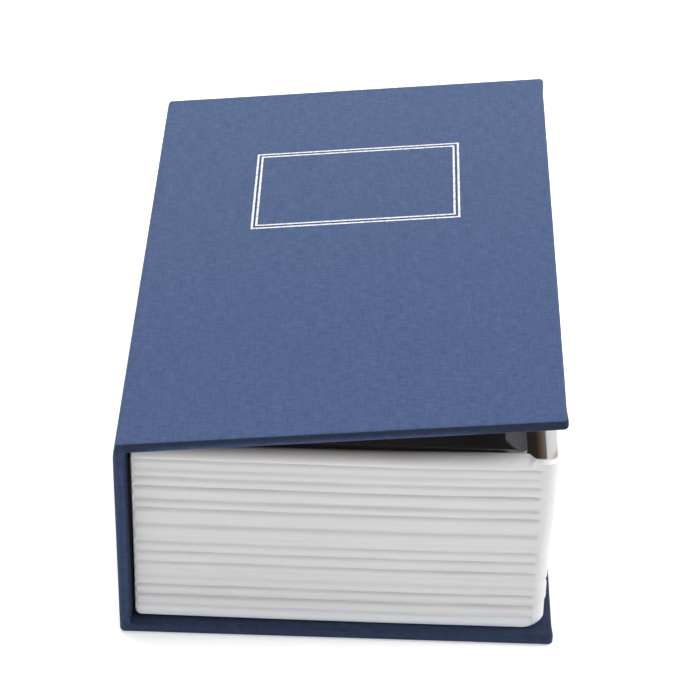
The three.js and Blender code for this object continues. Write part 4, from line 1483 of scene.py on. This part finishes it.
def softened(nodeName, width):
    look = bevelLook
    node = frame["nodes"][nodeName]
    slotName = next(p["material_slot"] for p in frame["record"]["subparts"] if p["node"] == nodeName)
    bm = bmesh.new()
    bm.from_mesh(node.data)
    bmesh.ops.remove_doubles(bm, verts=bm.verts, dist=look["weld"] * mm)
    flat = math.radians(look["flatBelow"])
    bmesh.ops.dissolve_limit(bm, angle_limit=flat, verts=bm.verts, edges=bm.edges)
    sharp = math.radians(look["sharpFrom"])
    edges = [e for e in bm.edges if len(e.link_faces) == 2 and e.calc_face_angle() > sharp]
    bmesh.ops.bevel(
        bm, geom=edges, offset=width * mm, offset_type="OFFSET", segments=look["segments"], profile=0.5,
        affect="EDGES", clamp_overlap=True,
    )
    bmesh.ops.remove_doubles(bm, verts=bm.verts, dist=look["weldAfter"] * mm)
    mesh = finishMesh(bm, "soft_" + nodeName)
    makePiece("soft_" + nodeName, mesh, body_of(node)[0], slotName, [nodeName])


for row, width in softEdges.items():
    for nodeName in sorted(name for name in frame["nodes"] if name.startswith(row)):
        softened(nodeName, width)
print("metal pieces softened")


# Floor and light

studio = {
    "floorTone": 0.95,
    "floorMottle": 0.01,
    "floorGrain": 0.004,
    "bounceTone": 0.8,  # the floor as the object sees it
    "floorGlow": 0.4,  # pales the shadow for the camera
    "floorSize": 6,
    "floorDrop": 0.0002,
    "ambient": 0.45,
    "aim": (0, 0, 0.03),
}
lamps = {  # name: place, size, power
    "frontLight": ((0.3, -1.7, 0.1), 1.0, 5.5),
    "overLight": ((-0.3, 0.5, 1.65), 1.2, 15),
    "rightLight": ((1.4, 0.05, 1.3), 1.0, 18),
}


def seenDirectly(s):  # 1 for what the camera, a mirror or glass shows, and 0 for light that lands
    rays = ("Is Camera Ray", "Is Glossy Ray", "Is Transmission Ray")
    camera, glossy, through = (s.add("ShaderNodeLightPath", output=name) for name in rays)
    return camera.atLeast(glossy).atLeast(through)


def grey(tone):
    return (tone, tone, tone, 1)


def floorFinish():
    s = Shader("studioFloor")
    cloud = s.evenGrain(s.place(), studio["floorGrain"])
    tone, seen = studio["floorTone"], seenDirectly(s)
    pale = s.mix(cloud, grey(tone - studio["floorMottle"]), grey(tone))
    return s.finish(
        Base_Color=s.mix(seen, grey(studio["bounceTone"]), pale),
        Roughness=0.9,
        Specular_IOR_Level=0.0,
        Emission_Color=s.mix(seen, grey(0), grey(studio["floorGlow"])),
        Emission_Strength=1.0,
    )


def makeFloor():
    half = studio["floorSize"] / 2
    mesh = bpy.data.meshes.new("studioFloor")
    corners = [(-half, -half, 0), (half, -half, 0), (half, half, 0), (-half, half, 0)]
    mesh.from_pydata(corners, [], [(0, 1, 2, 3)])
    mesh.materials.append(floorFinish())
    floor = bpy.data.objects.new("studioFloor", mesh)
    floor.location.z = -studio["floorDrop"]
    bpy.context.scene.collection.objects.link(floor)
    floor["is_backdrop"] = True


def areaLight(name, place, size, power):
    data = bpy.data.lights.new(name, "AREA")
    data.shape = "DISK"
    data.size = size
    data.energy = power
    light = bpy.data.objects.new(name, data)
    light.location = place
    light.rotation_euler = (Vector(studio["aim"]) - Vector(place)).to_track_quat("-Z", "Y").to_euler()
    bpy.context.scene.collection.objects.link(light)
    light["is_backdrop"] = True


def makeWorld():
    world = bpy.data.worlds.new("studioWorld")
    s = Shader("studioWorld", world)
    levels = {"Value": seenDirectly(s), "To Min": studio["ambient"], "To Max": 1}
    strength = s.add("ShaderNodeMapRange", {}, levels)
    light = s.add("ShaderNodeBackground", {}, {"Color": grey(1), "Strength": strength})
    s.add("ShaderNodeOutputWorld", {}, {"Surface": light}, output=None)
    bpy.context.scene.world = world


makeFloor()
for name, (place, size, power) in lamps.items():
    areaLight(name, place, size, power)
makeWorld()
print("floor and light made")

boxes = {"packed": packedBounds, "shown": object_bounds()}
{name: [list(corner) for corner in pair] for name, pair in boxes.items()}
